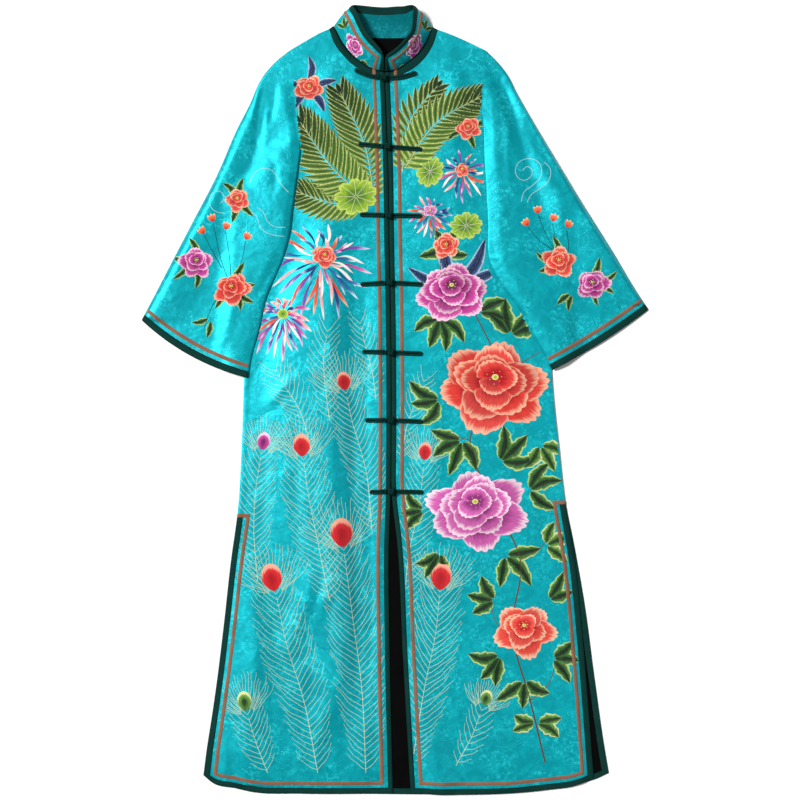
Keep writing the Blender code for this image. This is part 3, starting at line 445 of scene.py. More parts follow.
# Rings of a full flower: petals, how far they reach, where they start, width, shift upwards,
# all as shares of half the flower's size.
BLOSSOM_RINGS = (
    (6, 1.00, 0.30, 0.90, -0.08),
    (5, 0.78, 0.22, 0.78, 0.00),
    (4, 0.58, 0.13, 0.70, 0.09),
    (3, 0.38, 0.03, 0.56, 0.17),
)
SMALL_RINGS = (
    (5, 1.00, 0.16, 1.00, -0.05),
    (4, 0.74, 0.08, 0.82, 0.04),
    (3, 0.46, 0.02, 0.60, 0.12),
)
# Tiers of a thread-petalled flower: rays, where they start and end, width of a ray.
MUM_TIERS = ((22, 0.30, 1.00, 0.0046), (17, 0.16, 0.74, 0.0044), (11, 0.06, 0.46, 0.0040))
SMALL_TIERS = ((16, 0.26, 1.00, 0.0038), (12, 0.12, 0.68, 0.0036))


def shade(code):
    """Linear colour of a six-figure hexadecimal one."""
    parts = [int(code[k : k + 2], 16) / 255 for k in (0, 2, 4)]
    parts = [p / 12.92 if p <= 0.04045 else ((p + 0.055) / 1.055) ** 2.4 for p in parts]
    return (*parts, 1.0)


def silk(codes):
    """Inner, middle and outer colour of a petal or leaf."""
    return tuple(shade(code) for code in codes.split())


BARK, TWIG = silk("5a3a26 6b4a30")
STALK, RIB, LEAF_VEIN = silk("0e2414 4a7636 efe9cf")
FEATHER, PALE = silk("d9e4bf bfe0e6")
CORAL = silk("b8141f e0483c f8c2a2")
SCARLET = silk("a80f1c d43a32 f5b093")
MAGENTA = silk("6c1554 bb3c90 f3c8de")
ROSE = silk("842470 c85aa6 f5d6e8")
DEEP = silk("741458 c03a96 fbeef6")
DROP = silk("a80c18 cc2029 f4a78c")
LEAF = silk("0e2414 3a6c30 bcd480")
LEAF_LIGHT = silk("17351a 5a8c3a d6e09c")
NAVY = silk("101a3c 2a4a7c b4c8d8")
LIME = silk("4f7c20 86ac30 bdd45c")
PALM_NEAR = silk("48702a 7c9e38 d6da8c")
PALM_FAR = silk("0a1c0c 17361a b4c278")
STAMEN = silk("8c9a2c c2c648 eee79c")
ORANGE = silk("c8281f ea6a3c f7c79a")
RAYS = [silk(codes) for codes in (
    "16225a 22357a b8c6e2", "8f1f6e c453a0 f3c8de", "c22a24 e4553a f7b79a", "efe6dc f6f0e8 f4dcd4",
    "4a2378 7a48a8 d8c0e6", "e2808c f2a8a8 fbe2dc", "12306a 2f69a8 cfe4f2",
)]

# Layout of the embroidery on the drawing sheet, in steps across and down.
# Rows of plumes: the stalk's places, length of the longest barb, pairs of barbs, length of the
# barbs spread at its head.
LEFT_PLUMES = (
    (((366, 772), (362, 690), (352, 610), (344, 548)), 0.068, 36, 0.066),
    (((318, 772), (304, 700), (286, 640), (276, 592)), 0.068, 30, 0.064),
    (((268, 772), (256, 740), (248, 712)), 0.048, 11, 0.050),
    (((330, 600), (318, 540), (308, 490), (304, 458)), 0.062, 24, 0.058),
    (((258, 580), (254, 530), (256, 490), (262, 452)), 0.050, 21, 0.046),
    (((372, 530), (366, 470), (352, 420), (346, 392)), 0.056, 24, 0.052),
    (((312, 450), (300, 410), (284, 384), (276, 370)), 0.044, 15, 0.0),
    (((376, 400), (372, 370), (364, 340), (360, 322)), 0.032, 13, 0.0),
    (((330, 420), (326, 390), (324, 360), (328, 330)), 0.038, 14, 0.0),
)
RIGHT_PLUMES = (
    (((412, 765), (424, 690), (436, 630), (440, 590)), 0.062, 30, 0.058),
    (((456, 765), (472, 735), (482, 708)), 0.036, 9, 0.036),
    (((404, 620), (408, 560), (420, 500), (424, 462)), 0.048, 23, 0.042),
    (((402, 460), (406, 430), (416, 400), (424, 380)), 0.032, 13, 0.0),
)
# Rows of buds: place, width, height, turn, silks.
LEFT_BUDS = (
    (342, 532, 0.034, 0.044, 0.12, DROP), (272, 577, 0.032, 0.042, 0.20, DROP),
    (245, 700, 0.022, 0.030, 0.15, LEAF_LIGHT), (302, 445, 0.026, 0.034, 0.08, DROP),
    (264, 441, 0.020, 0.027, -0.20, MAGENTA), (344, 381, 0.021, 0.028, 0.15, DROP),
)
RIGHT_BUDS = (
    (441, 576, 0.032, 0.042, -0.10, DROP), (486, 697, 0.018, 0.024, -0.3, LEAF_LIGHT),
    (425, 451, 0.020, 0.027, -0.10, DROP),
)
CLIMBER = ((545, 762), (530, 700), (512, 630), (520, 560), (492, 500), (470, 440), (500, 380),
           (478, 320), (440, 262), (446, 238))
SIDE_STEMS = (
    ((530, 700), (548, 684), (556, 660)),
    ((512, 640), (496, 622), (490, 600)),
    ((500, 380), (526, 360), (540, 352)),
    ((470, 440), (446, 436), (432, 444)),
    ((520, 560), (540, 548), (552, 530)),
)
# Rows of full flowers: place, width, height, turn, silks.
RIGHT_FLOWERS = (
    (452, 290, 0.116, 0.090, 0.10, MAGENTA), (494, 385, 0.172, 0.142, -0.12, SCARLET),
    (476, 508, 0.152, 0.122, 0.14, ROSE), (524, 628, 0.096, 0.082, 0.0, CORAL),
    (446, 246, 0.046, 0.040, 0.2, CORAL),
)
# Rows of leaves: place, the ways they point in degrees, length, width, silks.
RIGHT_LEAVES = (
    (452, 290, (20, 62, 110, 152), 0.080, 0.020, NAVY),
    (440, 318, (205, 245, 282, 320), 0.046, 0.025, LEAF),
    (478, 312, (-20, 20), 0.046, 0.026, LEAF),
    (510, 335, (5, 48, 92, 140), 0.052, 0.028, LEAF),
    (540, 350, (35, -10), 0.034, 0.021, LEAF_LIGHT),
    (556, 392, (-30, 15, 60), 0.034, 0.024, LEAF),
    (440, 400, (150, 190, 228), 0.046, 0.026, LEAF),
    (462, 440, (160, 205, 250, -60), 0.050, 0.027, LEAF),
    (540, 445, (-15, -60, 240), 0.040, 0.025, LEAF_LIGHT),
    (500, 462, (40, 80, 5), 0.050, 0.027, LEAF),
    (528, 490, (10, 50, -30), 0.044, 0.026, LEAF),
    (424, 510, (140, 185, 225), 0.036, 0.024, LEAF),
    (440, 552, (200, 245, 285), 0.042, 0.025, LEAF),
    (505, 555, (-50, -95, 10), 0.050, 0.027, LEAF),
    (545, 545, (15, 62, -35), 0.040, 0.025, LEAF_LIGHT),
    (495, 600, (120, 165, 210), 0.040, 0.025, LEAF),
    (548, 600, (20, 65), 0.040, 0.025, LEAF),
    (500, 655, (180, 225, 262), 0.042, 0.026, LEAF),
    (552, 658, (-5, -50, 45), 0.038, 0.025, LEAF),
    (524, 680, (215, 265, -20), 0.044, 0.026, LEAF),
    (536, 722, (160, 205, 10, -35), 0.036, 0.024, LEAF_LIGHT),
    (446, 250, (65, 120, 190, -10), 0.034, 0.019, LEAF),
)
SLEEVE_SPRAYS = {
    "left": {
        "flowers": (
            (238, 200, 0.040, 0.036, 0.2, CORAL),
            (197, 262, 0.052, 0.048, -0.1, MAGENTA),
            (232, 288, 0.056, 0.050, 0.3, SCARLET),
        ),
        "leaves": (
            (238, 200, (70, 130, 250, 310), 0.032, 0.013),
            (197, 262, (110, 165, 215, 265), 0.034, 0.013),
            (232, 288, (10, 60, 235, 285, 330), 0.036, 0.014),
            (212, 318, (200, 255), 0.026, 0.011),
        ),
        "buds": ((214, 222, 110), (226, 230, 75), (205, 234, 130), (246, 240, 60)),
        "stems": (
            ((232, 288), (222, 262), (214, 224)),
            ((232, 288), (230, 258), (226, 232)),
            ((222, 268), (212, 250), (205, 236)),
            ((234, 280), (242, 262), (246, 242)),
            ((232, 288), (214, 304), (204, 330)),
        ),
        "scrolls": (
            ((250, 184), (254, 173), (264, 168), (275, 172), (281, 185), (289, 193)),
            ((226, 214), (214, 212), (209, 203), (212, 193), (221, 191), (226, 198), (221, 204)),
            ((251, 212), (258, 217), (260, 228), (269, 235), (284, 237)),
            ((258, 208), (265, 213), (267, 222), (275, 228), (286, 228)),
        ),
    },
    "right": {
        "flowers": (
            (592, 284, 0.052, 0.047, 0.2, MAGENTA),
            (558, 262, 0.052, 0.048, -0.2, CORAL),
        ),
        "leaves": (
            (558, 262, (100, 160, 210), 0.032, 0.013),
            (592, 284, (-20, 30, 75, 280), 0.034, 0.013),
            (572, 292, (215, 260), 0.028, 0.012),
        ),
        "buds": ((538, 214, 100), (552, 222, 70), (528, 226, 130), (566, 228, 60)),
        "stems": (
            ((562, 262), (548, 240), (538, 216)),
            ((562, 262), (556, 244), (552, 224)),
            ((552, 250), (538, 240), (528, 228)),
            ((566, 262), (568, 246), (566, 230)),
        ),
        "scrolls": (
            (
                (521, 202), (523, 192), (533, 186), (542, 176), (540, 163), (528, 158), (517, 163),
                (514, 174), (521, 182), (530, 179), (533, 171), (527, 166), (522, 171),
            ),
            ((527, 203), (530, 195), (539, 190), (549, 182), (551, 170), (544, 163)),
        ),
    },
}
# Rows of the collar's sprays: the flower's place and turn, the ways of the near and the far leaves,
# their places.
COLLAR_SPRAYS = (
    (355, 47, -1.02, (150, -60), (100, 150, 60), (368, 66), (346, 30)),
    (414, 48, 1.10, (20, 245), (75, 20, 120), (399, 68), (425, 32)),
)


def ramp(share):
    """Eases from 0 to 1 while share goes from 0 to 1."""
    share = np.clip(share, 0.0, 1.0)
    return share * share * (3.0 - 2.0 * share)


def at_least_zero(height):
    """The height, eased so that cloth never dips under the level that it rests on."""
    raised = np.maximum(height, 0.0)
    return np.where(raised < SOFTNESS, raised * raised / (2 * SOFTNESS), raised - SOFTNESS / 2)


def smooth(rows, at):
    """Reads rows of place and values at other places, along a curve through every row."""
    rows = np.array(rows, float)
    places, values = rows[:, 0], rows[:, 1:]
    slopes = np.gradient(values, places, axis=0)
    at = np.atleast_1d(np.asarray(at, float))
    k = np.clip(np.searchsorted(places, at) - 1, 0, len(places) - 2)
    run = (places[k + 1] - places[k])[:, None]
    t = np.clip((at - places[k])[:, None] / run, 0.0, 1.0)
    start = (1 + 2 * t) * (1 - t) ** 2 * values[k] + t * (1 - t) ** 2 * run * slopes[k]
    end = t * t * (3 - 2 * t) * values[k + 1] - t * t * (1 - t) * run * slopes[k + 1]
    return start + end


def height_read(rows, at):
    """One value of the table for each place, in the shape that the places come in."""
    at = np.asarray(at, float)
    return smooth(rows, at.ravel())[:, 0].reshape(at.shape)


def lengths(points):
    steps = np.linalg.norm(np.diff(points, axis=0), axis=1)
    return np.concatenate([[0.0], np.cumsum(steps)])


def follow(points, distances):
    """Points at these distances along a curve through the given points."""
    points = np.array(points, float)
    return smooth(np.column_stack([lengths(points), points]), distances)


def reach(points):
    return lengths(np.array(points, float))[-1]


def between(start, end, count):
    """Evenly spaced places between two others, without those two."""
    return start + (end - start) * np.arange(1, count) / count


def ridge(across):
    """Section of a fold: a rounded crest, straight slopes and a soft foot at each side."""
    rest = np.maximum(1.0 + CREST_ROUND - np.hypot(across / FOLD_REACH, CREST_ROUND), 0.0)
    soft = np.where(rest < FOOT_SOFT, rest * rest / (2 * FOOT_SOFT), rest - FOOT_SOFT / 2)
    return soft / (1.0 - FOOT_SOFT / 2)


def folds(rows, x, y):
    """Height of the named folds at these places, each with its own slope to the left and right."""
    total = np.zeros_like(x)
    for fold in rows:
        read = smooth(fold, y.ravel()).reshape(*y.shape, 4)
        crest, height, left, right = np.moveaxis(read, -1, 0)
        across = (x - crest) / np.where(x < crest, left, right)
        inside = (y > fold[0][0]) & (y < fold[-1][0])
        total += np.where(inside, height * ridge(across), 0.0)
    return total


def centre_line(front, y):
    """x of a front's centre edge. The right one meets the left one, and parts from it low down."""
    own = height_read(front["centre"], y)
    if front["way"] < 0:
        return own
    return np.maximum(own, height_read(LEFT_FRONT["centre"], y) + FRONTS_APART)


def side_line(front, y):
    """x of a front's outer edge: its side, then the armhole up to the shoulder."""
    underarm, fold = front["underarm"], front["armhole_fold"]
    shoulder = front["shoulder"][-1]
    armhole_y = (underarm[1], fold[1], shoulder[1])
    armhole_x = (underarm[0], fold[0], shoulder[0])
    y = np.asarray(y, float)
    return np.where(
        y > underarm[1], np.interp(y, armhole_y, armhole_x), height_read(front["side"], y)
    )


def front_lift(front, x, y):
    """How far the front's cloth stands above its lowest level."""
    way = front["way"]
    from_centre = way * (x - centre_line(front, y))
    from_side = way * (height_read(front["side"], y) - x)
    from_shoulder = front["shoulder"][-1][1] - y
    from_hem = y - front["hem"][0][1]
    edge = np.minimum(np.minimum(from_centre, from_side), from_shoulder)
    below_arm = ramp((y - UNDER_SLEEVE_FROM) / UNDER_SLEEVE_RUN)
    sleeve = LEFT_SLEEVE if way < 0 else RIGHT_SLEEVE
    sleeve_edge = height_read([(at_y, at_x) for at_x, at_y in sleeve["inner"][::-1]], y)
    under_sleeve = below_arm * ramp(1.0 - way * (sleeve_edge - x) / UNDER_SLEEVE_FADE)
    level = SWELL * ramp(edge / SWELL_RUN) + folds(BODY_FOLDS, x, y)
    quiet = ramp(from_centre / CENTRE_QUIET) * ramp(from_side / SIDE_QUIET)
    quiet *= ramp(HEM_SHARE + from_hem / HEM_QUIET)
    return at_least_zero(level * quiet * (1.0 - under_sleeve))


def over_front(front, x, y):
    """1 where a sleeve lies on the front, easing to 0 beside it."""
    way = front["way"]
    (ax, ay), (bx, by) = front["underarm"], front["armhole_fold"]
    length = np.hypot(bx - ax, by - ay)
    below = way * ((bx - ax) * (y - ay) - (by - ay) * (x - ax)) / length
    inside = way * (height_read(front["side"], np.minimum(y, ay)) - x)
    return ramp(1.0 + (np.minimum(below, inside) + LAP_FLAT) / LAP_RUN)


def plan_row(places, y):
    return np.column_stack([places, np.broadcast_to(y, places.shape)])


def across(start, end, near_steps, far_steps, count):
    """Places from one edge to the other: trim steps at both, even columns between them."""
    way = np.sign(end - start)
    near = start + way * near_steps
    far = (end - way * far_steps)[::-1]
    return np.concatenate([near, between(near[-1], far[0], count), far])


def levels(low, high):
    """Heights of the rows between two others, about ROW_HEIGHT apart."""
    return between(low, high, max(1, round((high - low) / ROW_HEIGHT)))


def linked(name, data):
    """A new object in the scene."""
    obj = bpy.data.objects.new(name, data)
    bpy.context.scene.collection.objects.link(obj)
    return obj


def place(name, mesh, slot, solid=True):
    """Links a piece, makes it ride on the robe's one body and hides the imported solid of the same
    name. The slot is not used.
    """
    obj = linked(name, mesh)
    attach(obj, "root")
    if solid:
        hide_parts(name)
    return obj


def new_mesh(name, points, faces, materials, indices=0, sharp=CLOTH_SHARP):
    """A closed mesh turned outwards, smooth but for sharp edges, with a material for each face."""
    mesh = bpy.data.meshes.new(name)
    mesh.from_pydata(points.tolist(), [], faces)
    for material in materials:
        mesh.materials.append(material)
    mesh.polygons.foreach_set("material_index", np.full(len(faces), indices, np.int32))
    work = bmesh.new()
    work.from_mesh(mesh)
    loose = [vertex for vertex in work.verts if not vertex.link_faces]
    bmesh.ops.delete(work, geom=loose, context="VERTS")
    bmesh.ops.recalc_face_normals(work, faces=work.faces)
    work.to_mesh(mesh)
    work.free()
    mesh.shade_smooth()
    mesh.set_sharp_from_angle(angle=sharp)
    return mesh


def ring_faces(rings, sides, closed=False):
    """Faces between neighbouring rings of points, and from the last ring to the first if closed."""
    r, k = np.mgrid[0 : rings if closed else rings - 1, 0:sides]
    here, there = r * sides, (r + 1) % rings * sides
    after = (k + 1) % sides
    return np.stack([here + k, here + after, there + after, there + k], axis=-1).reshape(-1, 4)


def slab_faces(cells, shift, upper=0, under=0, wall=0):
    """Faces of a closed wall over the chosen cells of a grid, and their material indices.
    shift is the number that leads from a point of the upper grid to the lower one."""
    rows, columns = cells.shape
    width = columns + 1
    i, j = np.nonzero(cells)
    a = i * width + j
    top = np.column_stack([a, a + 1, a + width + 1, a + width])
    faces = [top, top[:, ::-1] + shift]
    kinds = [np.broadcast_to(upper, cells.shape)[i, j], np.broadcast_to(under, cells.shape)[i, j]]
    padded = np.pad(cells, 1)
    sides = ((0, 1, 0, 1), (1, 2, 1, 2), (2, 1, 2, 3), (1, 0, 3, 0))
    for row, column, start, end in sides:
        edge = ~padded[i + row, j + column]
        p, q = top[edge, start], top[edge, end]
        faces.append(np.column_stack([q, p, p + shift, q + shift]))
        kinds.append(np.full(edge.sum(), wall))
    return np.vstack(faces).tolist(), np.concatenate(kinds)


def slab(name, high, low, cells, materials, slot, **kinds):
    """A closed wall between two grids of points, over the chosen cells of the grid."""
    points = np.vstack([high.reshape(-1, 3), low.reshape(-1, 3)])
    faces, indices = slab_faces(cells, high.shape[0] * high.shape[1], **kinds)
    return place(name, new_mesh(name, points, faces, materials, indices), slot)


def layer(name, plan, high, low, *rest, **kinds):
    """A closed wall over a plan, between two heights."""
    return slab(name, np.dstack([plan, high]), np.dstack([plan, low]), *rest, **kinds)


def tube(name, outer, inner, materials, slot, kinds=0, inside=0):
    """A closed wall between outer and inner rings, open right through its hollow."""
    rings, count = outer.shape[:2]
    points = np.vstack([outer.reshape(-1, 3), inner.reshape(-1, 3)])
    shift = rings * count
    wall = ring_faces(rings, count)
    faces = [wall, wall[:, [0, 3, 2, 1]] + shift]
    indices = [np.broadcast_to(kinds, (rings - 1, count)).ravel(), np.full(len(wall), inside)]
    k = np.arange(count)
    for first in (0, (rings - 1) * count):
        a, b = first + k, first + (k + 1) % count
        faces.append(np.column_stack([a, b, b + shift, a + shift]))
        indices.append(np.zeros(count, int))
    mesh = new_mesh(name, points, np.vstack(faces).tolist(), materials, np.concatenate(indices))
    return place(name, mesh, slot)


def section(rows, at):
    """Reads a table of place and value, straight between its rows."""
    return np.interp(at, *np.array(rows).T)


def numbered(grid):
    """Last row and column of a grid of points, and the row and column of each point."""
    rows, columns = grid.shape[0] - 1, grid.shape[1] - 1
    return rows, columns, *np.mgrid[0 : rows + 1, 0 : columns + 1]


def from_edge(steps, number):
    """Distance from an edge of the line with this number from it, or FAR behind the last step."""
    return np.append(steps, FAR)[np.minimum(number, len(steps))]


def cell_mean(values):
    """Mean of each cell's four corners."""
    return 0.25 * (values[:-1, :-1] + values[1:, :-1] + values[:-1, 1:] + values[1:, 1:])


def strip_cells(share):
    """Cells whose middle lies on a strip, where the share across it goes from 0 to 1."""
    mean = cell_mean(share)
    return (mean > 0.0) & (mean < 1.0)


class Shader:
    """A node material whose values are numbers or links from other nodes."""

    def __init__(self, name, roughness, specular=0.12, tint=(1.0, 1.0, 1.0, 1.0), metallic=0.0):
        self.material = bpy.data.materials.new(name)
        self.material.use_nodes = True
        self.tree = self.material.node_tree
        self.surface = self.tree.nodes["Principled BSDF"]
        self.surface.inputs["Roughness"].default_value = roughness
        self.surface.inputs["Specular IOR Level"].default_value = specular
        self.surface.inputs["Specular Tint"].default_value = tint
        self.surface.inputs["Metallic"].default_value = metallic

    def put(self, socket, value):
        if isinstance(value, bpy.types.NodeSocket):
            self.tree.links.new(value, socket)
        else:
            socket.default_value = value

    def add(self, kind, inputs=(), **settings):
        node = self.tree.nodes.new("ShaderNode" + kind)
        for key, value in settings.items():
            setattr(node, key, value)
        for key, value in dict(inputs).items():
            self.put(node.inputs[key], value)
        return node

    def maths(self, operation, *values):
        return self.add("Math", dict(enumerate(values)), operation=operation).outputs[0]

    def times(self, first, second):
        return self.maths("MULTIPLY", first, second)

    def sine(self, value, scale):
        return self.maths("SINE", self.times(value, scale))

    def span(self, value, low, high, start=0.0, end=1.0):
        """Eases from start to end while the value goes from low to high."""
        inputs = {"Value": value, "From Min": low, "From Max": high, "To Min": start, "To Max": end}
        return self.add("MapRange", inputs, interpolation_type="SMOOTHSTEP").outputs[0]

    def scaled(self, vector, scale, turn=0.0):
        inputs = {"Vector": vector, "Scale": scale, "Rotation": (0.0, 0.0, turn)}
        return self.add("Mapping", inputs).outputs[0]

    def noise(self, vector, scale, detail=2.0, distortion=0.0):
        inputs = {"Vector": vector, "Scale": scale, "Detail": detail, "Distortion": distortion}
        return self.add("TexNoise", inputs).outputs["Fac"]

    def ribs(self, scale, distortion, turn):
        """Places turned by an angle, and even ribs that run across them."""
        place = self.scaled(self.place, (1.0, 1.0, 1.0), turn)
        inputs = {"Vector": place, "Scale": scale, "Distortion": distortion, "Detail": 1.0}
        return place, self.add("TexWave", inputs, bands_direction="X").outputs["Fac"]

    def dimmed(self, colour, scale):
        inputs = {0: colour, "Scale": scale}
        return self.add("VectorMath", inputs, operation="SCALE").outputs[0]

    def mix(self, share, first, second):
        node = self.add("Mix", data_type="RGBA")
        for socket, value in ((0, share), (6, first), (7, second)):
            self.put(node.inputs[socket], value)
        return node.outputs[2]

    def finish(self, colour, bumps, roughness=None):
        """Sets the colour, and stacks bumps given as height and distance in metres."""
        self.put(self.surface.inputs["Base Color"], colour)
        if roughness is not None:
            self.put(self.surface.inputs["Roughness"], roughness)
        normal = None
        for height, distance in bumps:
            bump = self.add("Bump", {"Height": height, "Distance": distance})
            if normal is not None:
                self.put(bump.inputs["Normal"], normal)
            normal = bump.outputs[0]
        self.put(self.surface.inputs["Normal"], normal)
        return self.material

    @property
    def place(self):
        return self.add("TexCoord").outputs["Object"]


def satin_material(name, painted_shade_scale):
    """Figured satin: smooth ground, rosettes of broken rings and clouds of short bright floats.
    Its colours are scaled by painted_shade_scale; a scale below 1 makes a darker copy that paints
    shade."""
    shader = Shader(name, 0.42, 0.36, SATIN_SHEEN, SATIN_METALLIC)
    place = shader.place
    cells = shader.scaled(place, (ROSETTES, ROSETTES, 0.0))
    inputs = {"Vector": cells, "Scale": 1.0, "Randomness": 0.8}
    rosette = shader.add("TexVoronoi", inputs, voronoi_dimensions="2D")
    inputs = {0: cells, 1: rosette.outputs["Position"]}
    rest = shader.add("VectorMath", inputs, operation="SUBTRACT")
    x, y, _ = shader.add("SeparateXYZ", {0: rest.outputs[0]}).outputs
    petals = shader.maths("ABSOLUTE", shader.sine(shader.maths("ARCTAN2", y, x), 3.0))
    radius = shader.maths("MULTIPLY_ADD", petals, -0.035, rosette.outputs["Distance"])
    rings = shader.span(shader.sine(radius, 150.0), 0.15, 0.75)
    inside = shader.span(radius, 0.17, 0.20, 1.0, 0.0)
    broken = shader.span(shader.noise(place, 210.0, 3.0, 1.2), 0.46, 0.60)
    rosettes = shader.times(shader.times(rings, inside), broken)

    clouds = shader.span(shader.noise(place, 24.0, 3.0, 0.8), 0.40, 0.62)
    floats = shader.span(shader.noise(place, 190.0, 3.0, 0.9), 0.48, 0.66)
    rosettes = shader.times(rosettes, 0.62)
    figure = shader.maths("MAXIMUM", rosettes, shader.times(clouds, floats))
    soft = shader.span(shader.noise(place, 58.0, 3.0, 1.0), 0.38, 0.68)

    ground = shader.mix(shader.noise(place, 6.0), SATIN_DEEP, SATIN_LIGHT)
    ground = shader.mix(shader.times(soft, 0.55), ground, SATIN_SOFT)
    colour = shader.mix(shader.times(figure, 0.55), ground, SATIN_FIGURE)
    colour = shader.dimmed(colour, painted_shade_scale)
    roughness = shader.span(figure, 0.0, 1.0, 0.40, 0.53)
    warp = shader.noise(shader.scaled(place, (1.0, 0.22, 1.0)), 2600.0, 1.0)
    rumple = shader.noise(place, 26.0, 2.0, 0.6)
    bumps = [(rumple, 0.0015), (figure, 0.00010), (warp, 0.00008)]
    return shader.finish(colour, bumps, roughness)


def lining_material():
    shader = Shader("black_lining", 0.6, 0.02)
    place = shader.place
    colour = shader.mix(shader.noise(place, 30.0), *LINING_COLOURS)
    warp = shader.noise(shader.scaled(place, (1.0, 0.2, 1.0)), 2400.0, 1.0)
    return shader.finish(colour, [(shader.noise(place, 28.0), 0.0012), (warp, 0.00008)])


def binding_material():
    """Finely ribbed satin, cut on the bias: even ribs crossed by a faint irregular weft."""
    shader = Shader("binding_satin", 0.5, 0.09, BINDING_SHEEN)
    place, ribs = shader.ribs(260.0, 0.6, pi / 4)
    weft = shader.noise(place, 900.0, 2.0)
    mottle = shader.noise(place, 45.0, 3.0)
    share = shader.maths("MULTIPLY_ADD", ribs, 0.35, shader.times(mottle, 0.75))
    colour = shader.mix(share, *BINDING_COLOURS)
    return shader.finish(colour, [(ribs, 0.00022), (weft, 0.00012)])


def braid_material():
    """Flat braid: strands that cross at both slants, with a thin metal thread's soft gleam."""
    shader = Shader("copper_braid", 0.45, 0.18, BRAID_SHEEN)
    slants = [shader.ribs(330.0, 0.4, turn)[1] for turn in (pi / 4, -pi / 4)]
    strands = shader.maths("MAXIMUM", *slants)
    grain = shader.noise(shader.place, 700.0, 2.0)
    wear = shader.noise(shader.place, 35.0, 3.0)
    share = shader.maths("MULTIPLY_ADD", strands, 0.55, shader.times(grain, 0.45))
    colour = shader.mix(share, *BRAID_COLOURS)
    colour = shader.mix(shader.span(wear, 0.35, 0.7, 0.0, 0.8), colour, BRAID_WORN)
    return shader.finish(colour, [(strands, 0.00025), (grain, 0.0001)])


def cord_material():
    shader = Shader("frog_cord", 0.55, 0.12, CORD_SHEEN)
    place = shader.place
    fibre = shader.noise(place, 1500.0, 2.0)
    colour = shader.mix(shader.noise(place, 120.0, 2.0), *CORD_COLOURS)
    return shader.finish(colour, [(fibre, 0.00018)])


def thread_material():
    """Embroidery silk: long and short stitches that shade from an inner to an outer colour.
    The UV map holds the distance across the threads in millimetres and the share along them."""
    shader = Shader("embroidery_silk", 0.48, 0.22)
    run = shader.add("SeparateXYZ", {0: shader.add("UVMap", uv_map="thread").outputs[0]})
    across, along, _ = run.outputs
    colours = [shader.add("Attribute", attribute_name=name).outputs["Color"]
               for name in ("inner", "middle", "outer")]

    def streaks(scale_across, scale_along):
        inputs = {0: shader.times(across, scale_across), 1: shader.times(along, scale_along)}
        return shader.noise(shader.add("CombineXYZ", inputs).outputs[0], 1.0, 1.0)

    ragged = shader.maths("SUBTRACT", streaks(0.9, 0.6), 0.5)
    reached = shader.maths("MULTIPLY_ADD", ragged, 0.50, along)
    colour = shader.mix(shader.span(reached, 0.12, 0.55), colours[0], colours[1])
    colour = shader.mix(shader.span(reached, 0.64, 0.92), colour, colours[2])
    strand = shader.maths("ABSOLUTE", shader.sine(across, pi / THREAD_WIDTH_MM))
    shade_by = shader.maths("MULTIPLY_ADD", streaks(0.7, 3.0), 0.7, 0.60)
    shade_by = shader.maths("MULTIPLY_ADD", strand, 0.10, shade_by)
    shaded = shader.dimmed(colour, shade_by)
    return shader.finish(shaded, [(strand, 0.00014), (streaks(0.8, 7.0), 0.0001)])


def floor_material():
    shader = Shader("pale_floor", 0.9, 0.2)
    colour = shader.mix(shader.noise(shader.place, 40.0), *FLOOR_COLOURS)
    return shader.finish(colour, [(shader.noise(shader.place, 300.0), 0.00005)])


SATIN = satin_material("figured_satin", 1.0)
# Darker copy of the satin for the collar's inner face: painted shade
PAINTED_SHADE_FACING = satin_material("satin_facing_painted_shade", FACING_PAINTED_SHADE_SCALE)
LINING = lining_material()
# Materials and slot of the trim
BINDING = [binding_material()], "binding_satin"
BRAID = braid_material()
BRAIDED = [BRAID], "copper_braid"
CORD = [cord_material()], "frog_cord"
THREAD = thread_material()


def armhole_rise(front, x, y):
    """Lifts a front to meet the sleeve's cloth at the armhole, above the sleeve's fold."""
    (ax, ay), (bx, by) = front["armhole_fold"], front["shoulder"][-1]
    run = np.array([bx - ax, by - ay])
    along = np.clip(((x - ax) * run[0] + (y - ay) * run[1]) / (run @ run), 0.0, 1.0)
    near = ax + along * run[0], ay + along * run[1]
    inward = np.hypot(x - near[0], y - near[1])
    rise = LAP_RISE * over_front(front, *near) * ramp(along * hypot(*run) / ARMHOLE_START)
    return rise * ramp(1.0 - inward / ARMHOLE_RUN)


def front_level(front, x, y):
    """Underside of a front's cloth, with the folds and creases of the laid cloth."""
    return FRONT_BASE + front_lift(front, x, y) + armhole_rise(front, x, y)


def panel_row(hem, ends, edges, columns, step, level, share):
    """A row of plan points along a panel's hem, this step above it, eased towards a straight row
    at a level. ends are the hem's heights at both edges, and edges gives the edges' places."""
    at = [(1 - share) * (height + step) + share * level for height in ends]
    start, end = (float(edge) for edge in edges(*at))
    places = across(start, end, columns[0], EDGE_STEPS, columns[1])
    return plan_row(places, (1 - share) * (height_read(hem, places) + step) + share * level)


